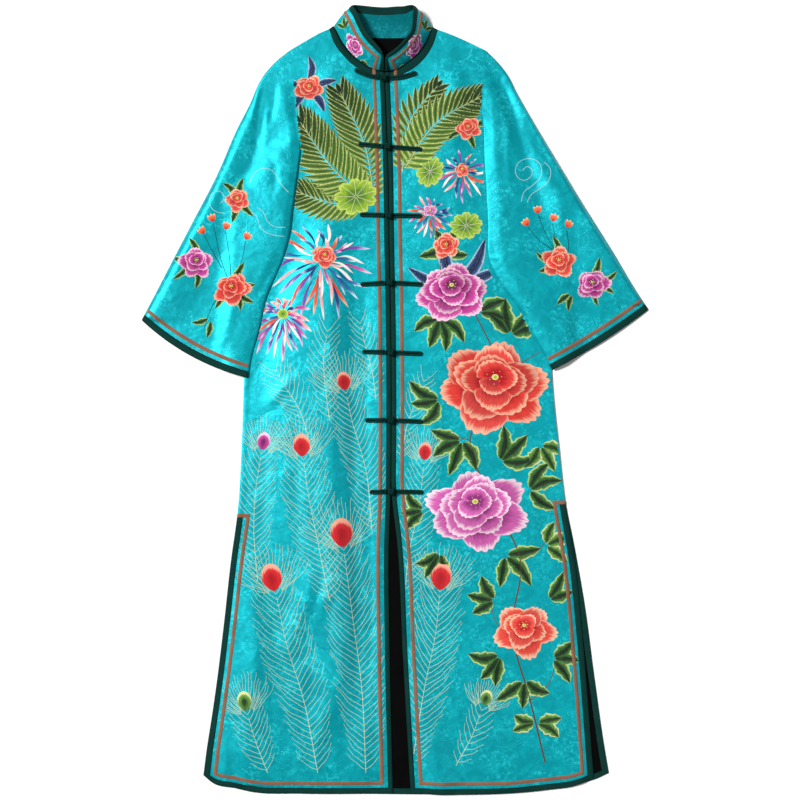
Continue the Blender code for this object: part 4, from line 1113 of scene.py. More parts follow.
def front_grid(front):
    """Plan points of a front: rows from hem to neckline, columns from centre front to side."""
    hem_centre, hem_side = ends = (front["hem"][0][1], front["hem"][-1][1])[:: front["way"]]

    def edges(at_centre, at_side):
        return centre_line(front, at_centre), side_line(front, at_side)

    def hem_row(step, level=0.0, share=0.0):
        columns = (CENTRE_STEPS, PANEL_COLUMNS)
        return panel_row(front["hem"], ends, edges, columns, step, level, share)

    def straight(y):
        return hem_row(0.0, y, 1.0)

    def neck_row(curve):
        end = reach(curve)
        along = [CENTRE_STEPS, between(CENTRE_STEPS[-1], end, NECK_COLUMNS), [end]]
        return follow(curve, np.concatenate(along))

    rows = [hem_row(step) for step in EDGE_STEPS]
    level = hem_side + HEM_EASE
    count = round((level - hem_centre) / ROW_HEIGHT)
    rows += [hem_row(EDGE_STEPS[-1], level, k / count) for k in range(1, count + 1)]
    slit, underarm, fold = front["slit_top"], front["underarm"][1], front["armhole_fold"][1]
    rows += [straight(y) for y in levels(level, slit - BRAID_WIDTH)]
    rows += [straight(y) for y in slit - BRAID_WIDTH * (1 - BRAID_SHARES)]
    slit_row = len(rows) - 1
    rows += [straight(slit + SEAM_GAP)]
    for low, high in ((slit + SEAM_GAP, underarm), (underarm, fold)):
        rows += [straight(y) for y in (*levels(low, high), high)]

    far = (reach(front["shoulder"]) - EDGE_STEPS)[::-1]
    along = np.concatenate([between(0.0, far[0], SHOULDER_COLUMNS), far])
    shoulder_row = follow(front["shoulder"], along)
    neck_outer, neck_inner = neck_row(front["neck_outer"]), neck_row(front["neck_inner"])
    top = np.vstack([neck_outer, shoulder_row])
    low = rows[-1]
    count = max(1, round((top[0, 1] - fold) / ROW_HEIGHT))
    rows += [low + (top - low) * k / count for k in range(1, count + 1)]
    gap = SEAM_GAP / NECK_BINDING
    for share in gap + (1 - gap) * BINDING_SHARES:
        rows.append(np.vstack([neck_outer + share * (neck_inner - neck_outer), shoulder_row]))
    return np.array(rows), slit_row


def make_front(side, front):
    """A front panel with its binding, the neck binding and the braid that lies on it."""
    plan, slit_row = front_grid(front)
    x, y = plan[..., 0], plan[..., 1]
    low = front_level(front, x, y)
    rows, columns, row, column = numbered(plan)
    from_centre = from_edge(CENTRE_STEPS, column)
    from_side = np.where(row <= slit_row, from_edge(EDGE_STEPS, columns - column), FAR)
    from_outer = np.minimum(from_side, from_edge(EDGE_STEPS, row))
    share = np.minimum(from_centre / FRONT_BINDING, from_outer / EDGE_BINDING)
    braid_share = np.minimum(from_centre - FRONT_BRAID_AT, from_outer - EDGE_BRAID_AT) / BRAID_WIDTH
    mean = cell_mean(share)
    neck_seam = rows - BOUND
    neck_share = np.zeros_like(x)
    neck_share[-BOUND:] = BINDING_SHARES[:, None]

    binding = mean < 1.0
    gap = (mean > 1.0) & (mean < SEAM_MEAN)
    gap[slit_row, -BOUND:] = True
    binding[slit_row, -BOUND:] = False
    gap[neck_seam, BOUND - 1 :] = True
    neck = np.zeros_like(binding)
    neck[neck_seam + 1 :, BOUND : len(CENTRE_STEPS) - 1 + NECK_COLUMNS] = True
    panel = ~(binding | gap)
    panel[neck_seam:] = False
    braid = strip_cells(braid_share)
    turn = len(BRAID_SHARES) - 1
    from_turn = np.full_like(x, -1.0)
    from_turn[slit_row - turn : slit_row + 1] = BRAID_SHARES[:, None]
    from_turn[:, : columns // 2] = -1.0
    braid[slit_row - turn : slit_row, columns - len(EDGE_STEPS) + 1 :] = True
    braid_share = np.maximum(braid_share, from_turn)

    top = low + WALL
    edge_drop = SIDE_ROUND * (1.0 - ramp((columns - column) / SIDE_ROUND_COLUMNS))
    free = (row > slit_row) & (y < front["armhole_fold"][1])
    panel_top = top - np.where(free, edge_drop, 0.0)
    bound = top + section(BINDING_SECTION, share)
    under = low + EDGE_ROUND * (1.0 - ramp(share / ROUND_SHARE))
    rim = top + section(BINDING_SECTION, 1.0 - neck_share)
    neck_high = np.where(column <= BOUND, np.minimum(rim, bound), rim)
    crossed = np.where(share < 1.0, bound, top)
    crossed = np.where(row > neck_seam, np.maximum(crossed, top + NECK_CROSSING), crossed)
    base = crossed + BRAID_FLOAT
    braid_top = base + section(BRAID_SECTION, braid_share)
    lined = [SATIN, LINING], "satin"
    return [
        layer(f"front_{side}", plan, panel_top, low, panel, *lined, under=1),
        layer(f"front_binding_{side}", plan, bound, under, binding, *BINDING),
        layer(f"neck_binding_{side}", plan, neck_high, low, neck, *BINDING),
        layer(f"front_braid_{side}", plan, braid_top, base, braid, *BRAIDED),
    ]


def back_side(name, y):
    """x of the back's edge: curved below the underarm, straight from there to the shoulder."""
    (low_y, low_x), (high_y, high_x) = BACK[name][-2:]
    above = low_x + (high_x - low_x) * (y - low_y) / (high_y - low_y)
    return np.where(y > low_y, above, height_read(BACK[name][:-1], np.minimum(y, low_y)))


def back_grid():
    """Plan points of the back: rows from hem to neckline, columns from left to right."""
    ends = BACK["hem"][0][1], BACK["hem"][-1][1]

    def edges(at_left, at_right):
        return back_side("left", at_left), back_side("right", at_right)

    def hem_row(step, level=0.0, share=0.0):
        return panel_row(BACK["hem"], ends, edges, (EDGE_STEPS, BACK_COLUMNS), step, level, share)

    slit, underarm, high = BACK["slit_top"], BACK["left"][-2][0], BACK["right"][-2][0]
    rows = [hem_row(step) for step in EDGE_STEPS]
    level = ends[0] + HEM_EASE
    count = round((level - ends[0]) / BACK_ROW)
    rows += [hem_row(EDGE_STEPS[-1], level, k / count) for k in range(1, count + 1)]
    low = np.linspace(level, slit, round((slit - level) / BACK_ROW))[1:]
    rows += [hem_row(0.0, y, 1.0) for y in low]
    slit_row = len(rows) - 1
    more = np.linspace(slit + SEAM_GAP, underarm, round((underarm - slit) / BACK_ROW))
    rows += [hem_row(0.0, y, 1.0) for y in (*more, high)]
    top = np.array(BACK["top"])
    along = lengths(top)
    inner = np.linspace(EDGE_STEPS[-1], along[-1] - EDGE_STEPS[-1], BACK_COLUMNS + 1)[1:-1]
    at = np.concatenate([EDGE_STEPS, inner, (along[-1] - EDGE_STEPS)[::-1]])
    top_row = np.column_stack([np.interp(at, along, top[:, k]) for k in (0, 1)])
    low = rows[-1]
    count = round((top[0, 1] - high) / BACK_ROW)
    rows += [low + (top_row - low) * k / count for k in range(1, count + 1)]
    return np.array(rows), slit_row


def make_back():
    """The back, flat on its outer side: lining inside, binding, and braid set in level outside."""
    plan, slit_row = back_grid()
    _, columns, row, column = numbered(plan)
    aside = from_edge(EDGE_STEPS, np.minimum(column, columns - column))
    aside = np.where(row <= slit_row, aside, FAR)
    inward = np.minimum(aside, from_edge(EDGE_STEPS, row))
    share = inward / EDGE_BINDING
    mean = cell_mean(share)
    binding, gap = mean < 1.0, (mean > 1.0) & (mean < SEAM_MEAN)
    gap[slit_row, :BOUND] = gap[slit_row, -BOUND:] = True
    binding[slit_row] = False
    braid = strip_cells((inward - EDGE_BRAID_AT) / BRAID_WIDTH)
    flat = np.zeros(row.shape)
    bound = WALL + np.minimum(0.0, section(BINDING_SECTION, share))
    cells, lined = ~(binding | gap), ([LINING, SATIN, BRAID], "satin")
    return [
        layer("back_panel", plan, flat + WALL, flat, cells, *lined,
              under=1 + braid.astype(int), wall=1),
        layer("back_binding", plan, bound, flat, binding, *BINDING),
    ]


def sleeve_sections(sleeve, inset):
    """Plan points, shares and heights of a sleeve's two layers, inset from its folded edges."""
    front = sleeve["front"]
    way = front["way"]
    outer_length, inner_length = reach(sleeve["outer"]), reach(sleeve["inner"])
    shares = np.arange(SLEEVE_ROWS + 1) / SLEEVE_ROWS
    cuff = CUFF_STEPS[::-1][1:]

    def edge(name, length):
        along = np.concatenate([shares * (length - CUFF_STEPS[-1]), length - cuff])
        return follow(sleeve[name], along), along / length

    outer, outer_share = edge("outer", outer_length)
    inner, inner_share = edge("inner", inner_length)
    share = 0.5 * (outer_share + inner_share)[:, None]
    chord = inner - outer
    width = np.linalg.norm(chord, axis=1)[:, None]
    even = 0.5 - 0.5 * np.cos(pi * np.arange(SLEEVE_COUNT + 1) / SLEEVE_COUNT)
    even = 0.5 * even + 0.5 * np.arange(SLEEVE_COUNT + 1) / SLEEVE_COUNT
    u = inset / width + even * (1 - 2 * inset / width)
    to_cuff = np.column_stack([chord[:, 1], -chord[:, 0]]) * -way / width
    bow = sleeve["bow"] * share**4 * 4 * u * (1 - u)
    upper = outer[:, None] + chord[:, None] * u[..., None] + to_cuff[:, None] * bow[..., None]
    start, end = outer[0], inner[0]
    underarm = np.array(front["underarm"]) + np.array([way * SEAM_GAP, 0.0])
    corners = (0.0, UNDERARM_SHARE, 1.0)
    ends = [np.interp(u, corners, (start[k], underarm[k], end[k])) for k in (0, 1)]
    straight = start + (end - start) * u[..., None]
    drop = np.maximum(0.0, 1.0 - share / share[SLEEVE_ROWS])
    lower = upper + (np.dstack(ends) - straight) * drop[..., None]

    x, y = upper[..., 0], upper[..., 1]
    billow = 4 * u * (1 - u) * ramp(share / SLEEVE_SWELL_RUN)
    crease = folds(SLEEVE_FOLDS, x, y) * ramp(CREASE_EDGE * u * (1 - u))
    crease *= ramp(share / CREASE_START)
    lift = at_least_zero(SLEEVE_SWELL * billow + crease)
    top = LAP_RISE * over_front(front, x, y) + 2 * WALL + SEAM_GAP + lift
    under = LAP_RISE * over_front(front, lower[..., 0], lower[..., 1])
    from_fold = np.minimum(u, 1 - u) * width
    return upper, lower, top, under, from_fold


def sleeve_rings(sleeve, wall, raised=0.0):
    """Rings round the flattened sleeve: outer side with rounded folds, or the inner side."""
    upper, lower, top, under, from_fold = sleeve_sections(sleeve, wall)
    middle = 0.5 * (top + under)
    if wall:
        top, under = top - wall, under + wall
    else:
        top = top + raised
        part = np.clip(1.0 - from_fold / FOLD_RADIUS, 0.0, 1.0)
        part = np.sqrt(1.0 - part * part)
        top, under = middle + (top - middle) * part, middle + (under - middle) * part
    ends = np.dstack([upper[:, (0, -1)], middle[:, (0, -1)]])
    over = np.dstack([upper, top])[:, 1:-1]
    below = np.dstack([lower, under])[:, -2:0:-1]
    return np.concatenate([ends[:, :1], over, ends[:, 1:], below], axis=1)


def make_sleeve(side, sleeve):
    """A flattened sleeve, its bound cuff, and braid above it: raised on top, level underneath."""
    outer, inner = sleeve_rings(sleeve, 0.0), sleeve_rings(sleeve, WALL)
    seam = len(outer) - BOUND
    below = np.arange(outer.shape[1]) > SLEEVE_COUNT
    rings = np.arange(seam - 1)[:, None]
    first = len(outer) - len(CUFF_STEPS)
    strip = len(BRAID_SHARES) - 1
    kinds = ((rings >= first) & (rings < first + strip) & below).astype(int) * 2
    bound = outer[seam:].copy()
    rise = section(BINDING_SECTION, BINDING_SHARES[::-1, None])
    bound[..., 2] += np.where(below, np.maximum(0.0, -rise), rise)
    low = outer[first : first + strip + 1, 1:SLEEVE_COUNT] + np.array([0.0, 0.0, BRAID_FLOAT])
    high = low.copy()
    high[..., 2] += section(BRAID_SECTION, BRAID_SHARES)[:, None]
    cells = np.ones((strip, low.shape[1] - 1), bool)
    lined = [SATIN, LINING, BRAID], "satin"
    return [
        tube(f"sleeve_{side}", outer[:seam], inner[:seam], *lined, kinds=kinds, inside=1),
        tube(f"cuff_binding_{side}", bound, inner[seam:], *BINDING),
        slab(f"cuff_braid_{side}", high, low, cells, *BRAIDED),
    ]


def rounded(from_end, from_rim):
    """Moves distances from a front edge and from the rim so that their corner is rounded."""
    away = np.stack([COLLAR_CORNER - from_end, COLLAR_CORNER - from_rim])
    inside = (away > 0.0).all(axis=0)
    scale = np.where(inside, away.max(axis=0) / np.hypot(*away), 1.0)
    return COLLAR_CORNER - away[0] * scale, COLLAR_CORNER - away[1] * scale


def collar_surface():
    """Points and outward directions of the collar: rows from foot to rim, columns round it."""
    stations = np.array(COLLAR_STATIONS)
    along = lengths(stations[:, :3])
    ends = COLLAR_STEPS
    inner = between(ends[-1], along[-1] - ends[-1], COLLAR_COLUMNS)
    columns = np.concatenate([ends, inner, (along[-1] - ends)[::-1]])
    low = np.arange(COLLAR_ROWS) / COLLAR_ROWS * (1 - ends[-1] / COLLAR_HEIGHT)
    steps = np.concatenate([low, (1 - ends / COLLAR_HEIGHT)[::-1]])
    at, steps = np.meshgrid(columns, steps)
    middle = along[-1] / 2
    behind = ramp((NAPE_REACH - np.abs(at - middle)) / NAPE_EASE)
    from_rim = (1 - steps) * COLLAR_HEIGHT
    from_rim *= 1 + NAPE_WIDER * behind * steps
    from_end, from_rim = rounded(middle - np.abs(at - middle), from_rim)
    at = np.where(at < middle, from_end, along[-1] - from_end)
    steps = 1 - from_rim / COLLAR_HEIGHT
    read = smooth(np.column_stack([along, stations]), at.ravel()).reshape(*at.shape, 6)
    surface = read[..., :3] + (read[..., 3:] - read[..., :3]) * steps[..., None]
    outward = np.cross(read[..., 3:] - read[..., :3], np.gradient(surface, axis=1))
    outward /= np.linalg.norm(outward, axis=2)[..., None]
    crown = COLLAR_CROWN * 4 * steps * (1 - steps)
    return surface + outward * crown[..., None], outward


def make_collar():
    """The stand collar, its bound rim and front edges, and the braid that runs inside them."""
    outer, outward = collar_surface()
    inner = outer - outward * COLLAR_WALL
    rows, columns, row, column = numbered(outer)
    from_end = from_edge(COLLAR_STEPS, np.minimum(column, columns - column))
    inward = np.minimum(from_end, from_edge(COLLAR_STEPS, rows - row))
    share = inward / COLLAR_BINDING
    braid_share = (inward - COLLAR_BRAID_AT) / BRAID_WIDTH
    mean = cell_mean(share)
    rise = section(BINDING_SECTION, share)[..., None]
    bound, facing = outer + outward * rise, inner - outward * np.minimum(0.0, rise + FACING_DROP)
    low = outer + outward * BRAID_FLOAT
    high = low + outward * section(BRAID_SECTION, braid_share)[..., None]
    return [
        # The collar's inner face takes the darker satin copy, as painted shade
        slab("collar", outer, inner, mean > SEAM_MEAN, [SATIN, PAINTED_SHADE_FACING], "satin", under=1),
        slab("collar_binding", bound, facing, mean < SEAM_MEAN, *BINDING),
        slab("collar_braid", high, low, strip_cells(braid_share), *BRAIDED),
    ]


def cloth_top(x, y):
    """Height of the fronts' upper face, and the distance from the nearer centre front edge."""
    left = x < centre_line(LEFT_FRONT, y)
    fronts = [(centre_line(f, y), front_level(f, x, y)) for f in (LEFT_FRONT, RIGHT_FRONT)]
    (left_edge, left_low), (right_edge, right_low) = fronts
    from_centre = np.where(left, np.abs(x - left_edge), np.abs(x - right_edge))
    return np.where(left, left_low, right_low) + WALL, from_centre


def sweep(path, radii):
    """Points and faces of a closed ring of tube, with a radius for each place and side."""
    count, sides = radii.shape
    ahead = np.roll(path, -1, 0) - np.roll(path, 1, 0)
    ahead /= np.linalg.norm(ahead, axis=1)[:, None]
    aside = np.cross(np.array([0.0, 0.0, 1.0]), ahead)
    aside /= np.linalg.norm(aside, axis=1)[:, None]
    above = np.cross(ahead, aside)
    turn = (2 * pi * np.arange(sides) / sides)[:, None]
    ring = np.cos(turn) * aside[:, None] + np.sin(turn) * above[:, None]
    points = (path[:, None] + ring * radii[..., None]).reshape(-1, 3)
    return points, ring_faces(count, sides, closed=True).tolist()


def corded(path):
    """Radii of a cord laid from strands that twist along it."""
    along = lengths(path)
    turns = max(1, round(along[-1] / CORD_PITCH))
    phase = 2 * pi * turns * along / (along[-1] * (1 + 1 / len(path)))
    angle = 2 * pi * np.arange(CORD_SIDES) / CORD_SIDES
    strands = np.abs(np.cos(angle[None] * 1.5 - phase[:, None] * 0.5))
    return CORD_RADIUS * (CORD_CORE + CORD_STRANDS * strands)


def arc(middle, radius, start, end, count):
    """Places on an arc round a middle that lies on the X axis."""
    return [(middle + radius * cos(a), radius * sin(a)) for a in np.linspace(start, end, count)]


def hairpin(length, eye):
    """A doubled cord in plan, along +X from the knot: its turned end, two legs and its start."""
    half = pi / 2
    turn = arc(length - CORD_SPREAD, CORD_SPREAD, -half, half, TURN_POINTS)
    if eye:
        opening = asin(CORD_SPREAD / EYE_RADIUS)
        start = arc(0.0, EYE_RADIUS, opening, 2 * pi - opening, EYE_POINTS)
    else:
        start = arc(TAIL_START + CORD_SPREAD, CORD_SPREAD, half, 3 * half, TURN_POINTS)
    legs = np.arange(max(start[0][0], TAIL_START) + LEG_CLEAR, length - LEG_CLEAR, LEG_STEP)
    far = [(leg, CORD_SPREAD) for leg in legs[::-1]]
    near = [(leg, -CORD_SPREAD) for leg in legs]
    return np.array(turn + far + start + near)


def make_cord(name, knot, end, eye, bow=0.0, least=0.0):
    """One doubled cord from the knot to its end, lying over binding, braid and cloth."""
    run = np.array(end) - np.array(knot)
    length = float(np.hypot(*run))
    run /= length
    pin = hairpin(length, eye)
    pin = np.vstack([pin, pin[:1]])
    whole = reach(pin)
    count = max(4, round(whole / CORD_STEP))
    along, aside = follow(pin, np.arange(count) * whole / count).T
    share = np.clip(along / length, 0.0, 1.0)
    x = knot[0] + run[0] * along - run[1] * aside
    y = knot[1] + run[1] * along + run[0] * aside - bow * 4 * share * (1 - share)
    top, from_centre = cloth_top(x, y)
    lift = np.maximum(least, section(CORD_LIFT, from_centre))
    path = np.column_stack([x, y, top + lift + CORD_RADIUS])
    points, faces = sweep(path, corded(path))
    materials, slot = CORD
    return place(name, new_mesh(name, points, faces, materials, sharp=pi), slot)


def make_knot(name, knot):
    """A ball knot: one cord woven round a core, over and under itself."""
    top, _ = cloth_top(*np.array(knot)[:, None])
    foot = float(top[0]) + CORD_LIFT[0][1]
    centre = np.array([*knot, foot + 2 * CORD_RADIUS + KNOT_CORE])
    t = np.linspace(0, 2 * pi * KNOT_LEADS, KNOT_STEPS, endpoint=False)
    wave = t * KNOT_BIGHTS / KNOT_LEADS
    latitude = KNOT_SPREAD * np.cos(wave)
    radius = KNOT_CORE + KNOT_WEAVE * np.sin(2 * wave)
    flat = radius * np.cos(latitude)
    path = np.column_stack([flat * np.cos(t), flat * np.sin(t), radius * np.sin(latitude)])
    points, faces = sweep(centre + path, np.full((len(path), KNOT_SIDES), KNOT_CORD))

    polar, azimuth = np.mgrid[1:BALL_BANDS, 0:BALL_SIDES] * pi / BALL_BANDS
    ball = [np.sin(polar) * np.cos(azimuth), np.sin(polar) * np.sin(azimuth), np.cos(polar)]
    ball = centre + KNOT_CORE * BALL_SHARE * np.stack(ball, axis=-1).reshape(-1, 3)
    shift = len(points)
    faces += (ring_faces(BALL_BANDS - 1, BALL_SIDES) + shift).tolist()
    numbers = list(range(shift, shift + len(ball)))
    faces += [numbers[:BALL_SIDES][::-1], numbers[-BALL_SIDES:]]
    materials, slot = CORD
    mesh = new_mesh(name, np.vstack([points, ball]), faces, materials, sharp=pi)
    return place(name, mesh, slot)


def make_frogs():
    """Seven frogs: a knot on a doubled cord on the left, held by a looped one on the right."""
    for number, (kx, ky, lx, ly, rx, ry) in enumerate(FROGS, start=1):
        sag = {"bow": FIRST_FROG_BOW, "least": FIRST_FROG_LIFT} if number == 1 else {}
        make_cord(f"frog_{number}_tail", (kx, ky), (lx, ly), False, **sag)
        make_cord(f"frog_{number}_loop", (kx, ky), (rx, ry), True, **sag)
        make_knot(f"frog_{number}_knot", (kx, ky))


def spot(across, down):
    """A place on the drawing sheet, in steps of SHEET_STEP across and down from its top left."""
    x, y = across - SHEET_CENTRE[0], SHEET_CENTRE[1] - down
    return np.array([x * SHEET_STEP, y * SHEET_STEP])


def spots(*places):
    return np.array([spot(*place) for place in places])


def curve(points, count):
    """Evenly spaced points along a smooth line through the given ones."""
    return follow(points, np.linspace(0.0, reach(points), count))


def cut_corners(points, times=3):
    """A line through places with its corners cut until it is smooth."""
    for _ in range(times):
        near, far = points[:-1], points[1:]
        cuts = np.stack([0.75 * near + 0.25 * far, 0.25 * near + 0.75 * far], axis=1)
        points = np.vstack([points[:1], cuts.reshape(-1, 2), points[-1:]])
    return points


def turned(angle):
    return np.array([[cos(angle), -sin(angle)], [sin(angle), cos(angle)]])


def heading(angle):
    return np.array([cos(angle), sin(angle)])


def along_spine(spine):
    """Unit directions along a line and to its left."""
    ahead = np.gradient(spine, axis=0)
    ahead /= np.linalg.norm(ahead, axis=1)[:, None] + 1e-12
    return ahead, np.column_stack([-ahead[:, 1], ahead[:, 0]])


class Ground:
    """The upper face of the named pieces, read straight down, with others that may hide it."""

    def __init__(self, carriers, covers=(), slanted=False):
        points, faces, owners = [], [], []
        for number, obj in enumerate([*carriers, *covers]):
            shift = len(points)
            points += [vertex.co.copy() for vertex in obj.data.vertices]
            faces += [[shift + k for k in polygon.vertices] for polygon in obj.data.polygons]
            owners += [number < len(carriers) and polygon.material_index == 0
                       for polygon in obj.data.polygons]
        self.tree = BVHTree.FromPolygons(points, faces)
        self.carries = owners
        self.slanted = slanted

    def read(self, plan):
        """Points of the cloth under these places, its upward directions and where it was met."""
        flat = plan.reshape(-1, 2)
        found = np.zeros((len(flat), 3))
        found[:, :2] = flat
        up = np.tile((0.0, 0.0, 1.0), (len(flat), 1))
        met = np.zeros(len(flat), bool)
        down = Vector((0.0, 0.0, -1.0))
        for k, (x, y) in enumerate(flat):
            place, normal, face, _ = self.tree.ray_cast(Vector((x, y, 0.2)), down)
            if face is not None and self.carries[face]:
                found[k] = place
                met[k] = True
                if self.slanted:
                    up[k] = normal
        shape = plan.shape[:-1]
        return found.reshape(*shape, 3), up.reshape(*shape, 3), met.reshape(shape)


class Stitching:
    """Embroidery that is gathered into one piece: closed pads of thread laid on the cloth."""

    def __init__(self, name, ground):
        self.name, self.ground = name, ground
        self.points, self.faces, self.runs, self.colours, self.count = [], [], [], [], 0

    def keep(self, points, faces, runs, colours):
        """Gathers a closed form: points, each with the threads' number and share, and colours."""
        self.points.append(points)
        for group in faces:
            self.faces += (group + self.count).tolist()
        self.runs.append(runs)
        self.colours.append(np.tile(np.array(colours).reshape(1, 12), (len(points), 1)))
        self.count += len(points)

    def pad(self, plan, rise, across, share, colours, lift=0.0):
        """A closed pad over a grid of places, with the threads' number and share at each."""
        found, up, met = self.ground.read(plan)
        cells = met[:-1, :-1] & met[1:, :-1] & met[:-1, 1:] & met[1:, 1:]
        level = found[..., 2]
        corners = np.stack([level[:-1, :-1], level[1:, :-1], level[:-1, 1:], level[1:, 1:]])
        cells &= np.ptp(corners, axis=0) < PAD_DROP
        if not cells.any():
            return
        high = found + up * (lift + rise)[..., None]
        low = found + up * PAD_FLOAT
        points = np.vstack([high.reshape(-1, 3), low.reshape(-1, 3)])
        runs = np.dstack(np.broadcast_arrays(across, share)).reshape(-1, 2)
        used, faces = np.unique(slab_faces(cells, rise.size)[0], return_inverse=True)
        self.keep(points[used], [faces.reshape(-1, 4)], np.vstack([runs] * 2)[used], colours)

    def leaf(self, spine, width, colours, rows=10, columns=6, teeth=0, lift=0.0, full=0.5,
             plump=1.0, straight=False):
        """A blade along a spine. Its threads slant from the middle to the edge, or run along."""
        spine = curve(spine, rows + 1)
        _, left = along_spine(spine)
        v = np.linspace(0.0, 1.0, rows + 1)[:, None]
        u = np.linspace(-1.0, 1.0, columns + 1)[None]
        half = width / 2 * np.sin(pi * v ** (np.log(0.5) / np.log(full))) ** 0.8
        if teeth:
            half = half * (1.0 - TOOTH * (v * teeth % 1.0) * (v < 0.93))
        half = np.maximum(half, LEAST_HALF_WIDTH)
        plan = spine[:, None] + left[:, None] * (half * u)[..., None]
        rise = PAD_EDGE + plump * PAD_DOME * (1 - u**2) * np.sin(pi * np.clip(v, 0.06, 0.94)) ** 0.5
        if straight:
            across, share = u * half * THREADS_MM, v
        else:
            across = (v * reach(spine) + 0.8 * np.abs(u) * half) * THREADS_MM + 40 * (u > 0)
            share = np.abs(u)
        self.pad(plan, rise, across, share, colours, lift)

    def petal(self, base, angle, length, width, colours, shape, lift=0.0, lobes=3):
        """A fan from its claw to a scalloped rim, drawn in the flower's own plane."""
        v = np.linspace(0.0, 1.0, PETAL_ROWS + 1)[:, None]
        u = np.linspace(-1.0, 1.0, PETAL_COLUMNS + 1)[None]
        scallops = SCALLOP * (np.abs(np.sin(pi * lobes * 0.5 * (u + 1))) - 0.5)
        far = length * (1.0 - 0.56 * np.abs(u) ** 2.3 + scallops * v**3)
        half = width / 2 * (0.24 + 0.76 * np.sin(pi / 2 * v**0.7))
        along, aside = far * v, half * u * (1.0 - 0.10 * v**4)
        local = np.stack([along, aside], axis=-1) @ turned(angle).T + base
        crown = np.sin(pi * np.clip(0.1 + 0.82 * v, 0, 1)) ** 0.6
        rise = PAD_EDGE + PETAL_DOME * (1 - u**2) ** 0.5 * crown
        share = v + (1.0 - v) * 0.75 * np.abs(u) ** 6
        across = aside * self.size * THREADS_MM + 17 * angle
        self.pad(self.origin + local @ shape.T, rise, across, 0.98 * share**1.45, colours, lift)

    def blossom(self, at, wide, tall, colours, rng, rings=SMALL_RINGS, turn=0.0, lift=BLOSSOM_LIFT,
                heart=STAMEN):
        """A full flower seen a little from the side: rings of lobed petals round its stamens."""
        self.origin, self.size = spot(*at), (wide + tall) / 4
        shape = turned(turn) @ np.diag([wide / 2, tall / 2])
        for count, reach_out, start, width, shift in rings:
            first = rng.uniform(0, 2 * pi)
            for k in range(count):
                angle = first + 2 * pi * (k + rng.uniform(-0.14, 0.14)) / count
                claw = start * heading(angle) + np.array([0.0, shift])
                length = (reach_out - start) * rng.uniform(0.84, 1.14)
                tone = rng.uniform(0.70, 1.12)
                tones = [tuple(np.clip(np.array(c) * tone, 0, 1)) for c in colours]
                level = k % 2 + (k == count - 1 and count % 2)
                self.petal(claw, angle, length, width * rng.uniform(0.94, 1.16), tones, shape,
                           lift=lift + level * PAD_LAYER, lobes=int(rng.integers(5, 8)))
            lift += 2.2 * PAD_LAYER
        middle = self.origin + shape @ np.array([0.0, rings[-1][4]])
        self.bud(middle, 0.13 * self.size, 0.11 * self.size, heart, lift=lift, cells=5)
        for k in range(ANTHERS):
            out = heading(2 * pi * k / ANTHERS + 0.2)
            anther = middle + shape @ ((0.15 if k % 2 else 0.11) * out)
            self.bud(anther, ANTHER_SIZE, ANTHER_SIZE, heart, lift=lift + PAD_LAYER, cells=3)

    def bud(self, place, wide, tall, colours, lift=0.0, cells=8, turn=0.0, point=0.0):
        """A round pad, or a drop whose deep colour lies towards its pointed end."""
        u, v = np.meshgrid(*[np.linspace(-1.0, 1.0, cells + 1)] * 2)
        x, y = u * np.sqrt(1 - v * v / 2), v * np.sqrt(1 - u * u / 2)
        radius = np.minimum(np.hypot(x, y), 1.0)
        narrowed = x * (1.0 - point * np.clip(y, 0, 1) ** 1.5)
        plan = np.stack([narrowed * wide / 2, y * tall / 2], axis=-1) @ turned(turn).T + place
        rise = PAD_EDGE + PAD_DOME * np.sqrt(1.0 - 0.98 * radius**2)
        share = radius * (1.0 - 0.36 * (point > 0) * (1 + y) / 2) - 0.22 * (point > 0) * y
        share = np.clip(share, 0, 1)
        self.pad(plan, rise, x * wide * THREADS_MM / 2, share, colours, lift)

    def line(self, points, width, colour, lift=0.0, tall=LINE_HEIGHT, taper=1.0):
        """A couched thread along a line of places: a three-sided closed prism."""
        _, left = along_spine(points)
        scale = np.linspace(1.0, taper, len(points))[:, None]
        found, up, met = self.ground.read(points)
        sides, _, met_left = self.ground.read(points + left * width / 2 * scale)
        others, _, met_right = self.ground.read(points - left * width / 2 * scale)
        met &= met_left & met_right
        start = 0
        for end in range(1, len(points) + 1):
            if end < len(points) and met[end] and met[start]:
                continue
            if met[start] and end - start > 1:
                part = slice(start, end)
                low, high = up[part] * (lift + PAD_FLOAT), up[part] * (lift + tall)
                corners = [sides[part] + low, found[part] + high, others[part] + low]
                self.prism(np.stack(corners, 1), colour)
            start = end

    def prism(self, rows, colour):
        count = len(rows)
        last = 3 * (count - 1)
        faces = [ring_faces(count, 3), np.array([[2, 1, 0], [last, last + 1, last + 2]])]
        runs = np.dstack(np.broadcast_arrays(np.arange(3), np.linspace(0.0, 1.0, count)[:, None]))
        self.keep(rows.reshape(-1, 3), faces, runs.reshape(-1, 2), [colour] * 3)

    def make(self):
        """One piece of all the pads and lines gathered so far."""
        mesh = new_mesh(self.name, np.vstack(self.points), self.faces, [THREAD], sharp=STITCH_SHARP)
        corners = np.zeros(len(mesh.loops), np.int32)
        mesh.loops.foreach_get("vertex_index", corners)
        runs = np.vstack(self.runs)[corners]
        threads = mesh.uv_layers.new(name="thread")
        threads.data.foreach_set("uv", runs.astype(np.float32).ravel())
        colours = np.vstack(self.colours).astype(np.float32)
        for k, name in enumerate(("inner", "middle", "outer")):
            attribute = mesh.attributes.new(name, "FLOAT_COLOR", "POINT")
            attribute.data.foreach_set("color", colours[:, 4 * k : 4 * k + 4].ravel())
        return place(self.name, mesh, "satin", solid=False)


def blend(first, second, share):
    """Colours between two sets of three."""
    return [tuple(np.array(a) * (1 - share) + np.array(b) * share) for a, b in zip(first, second)]


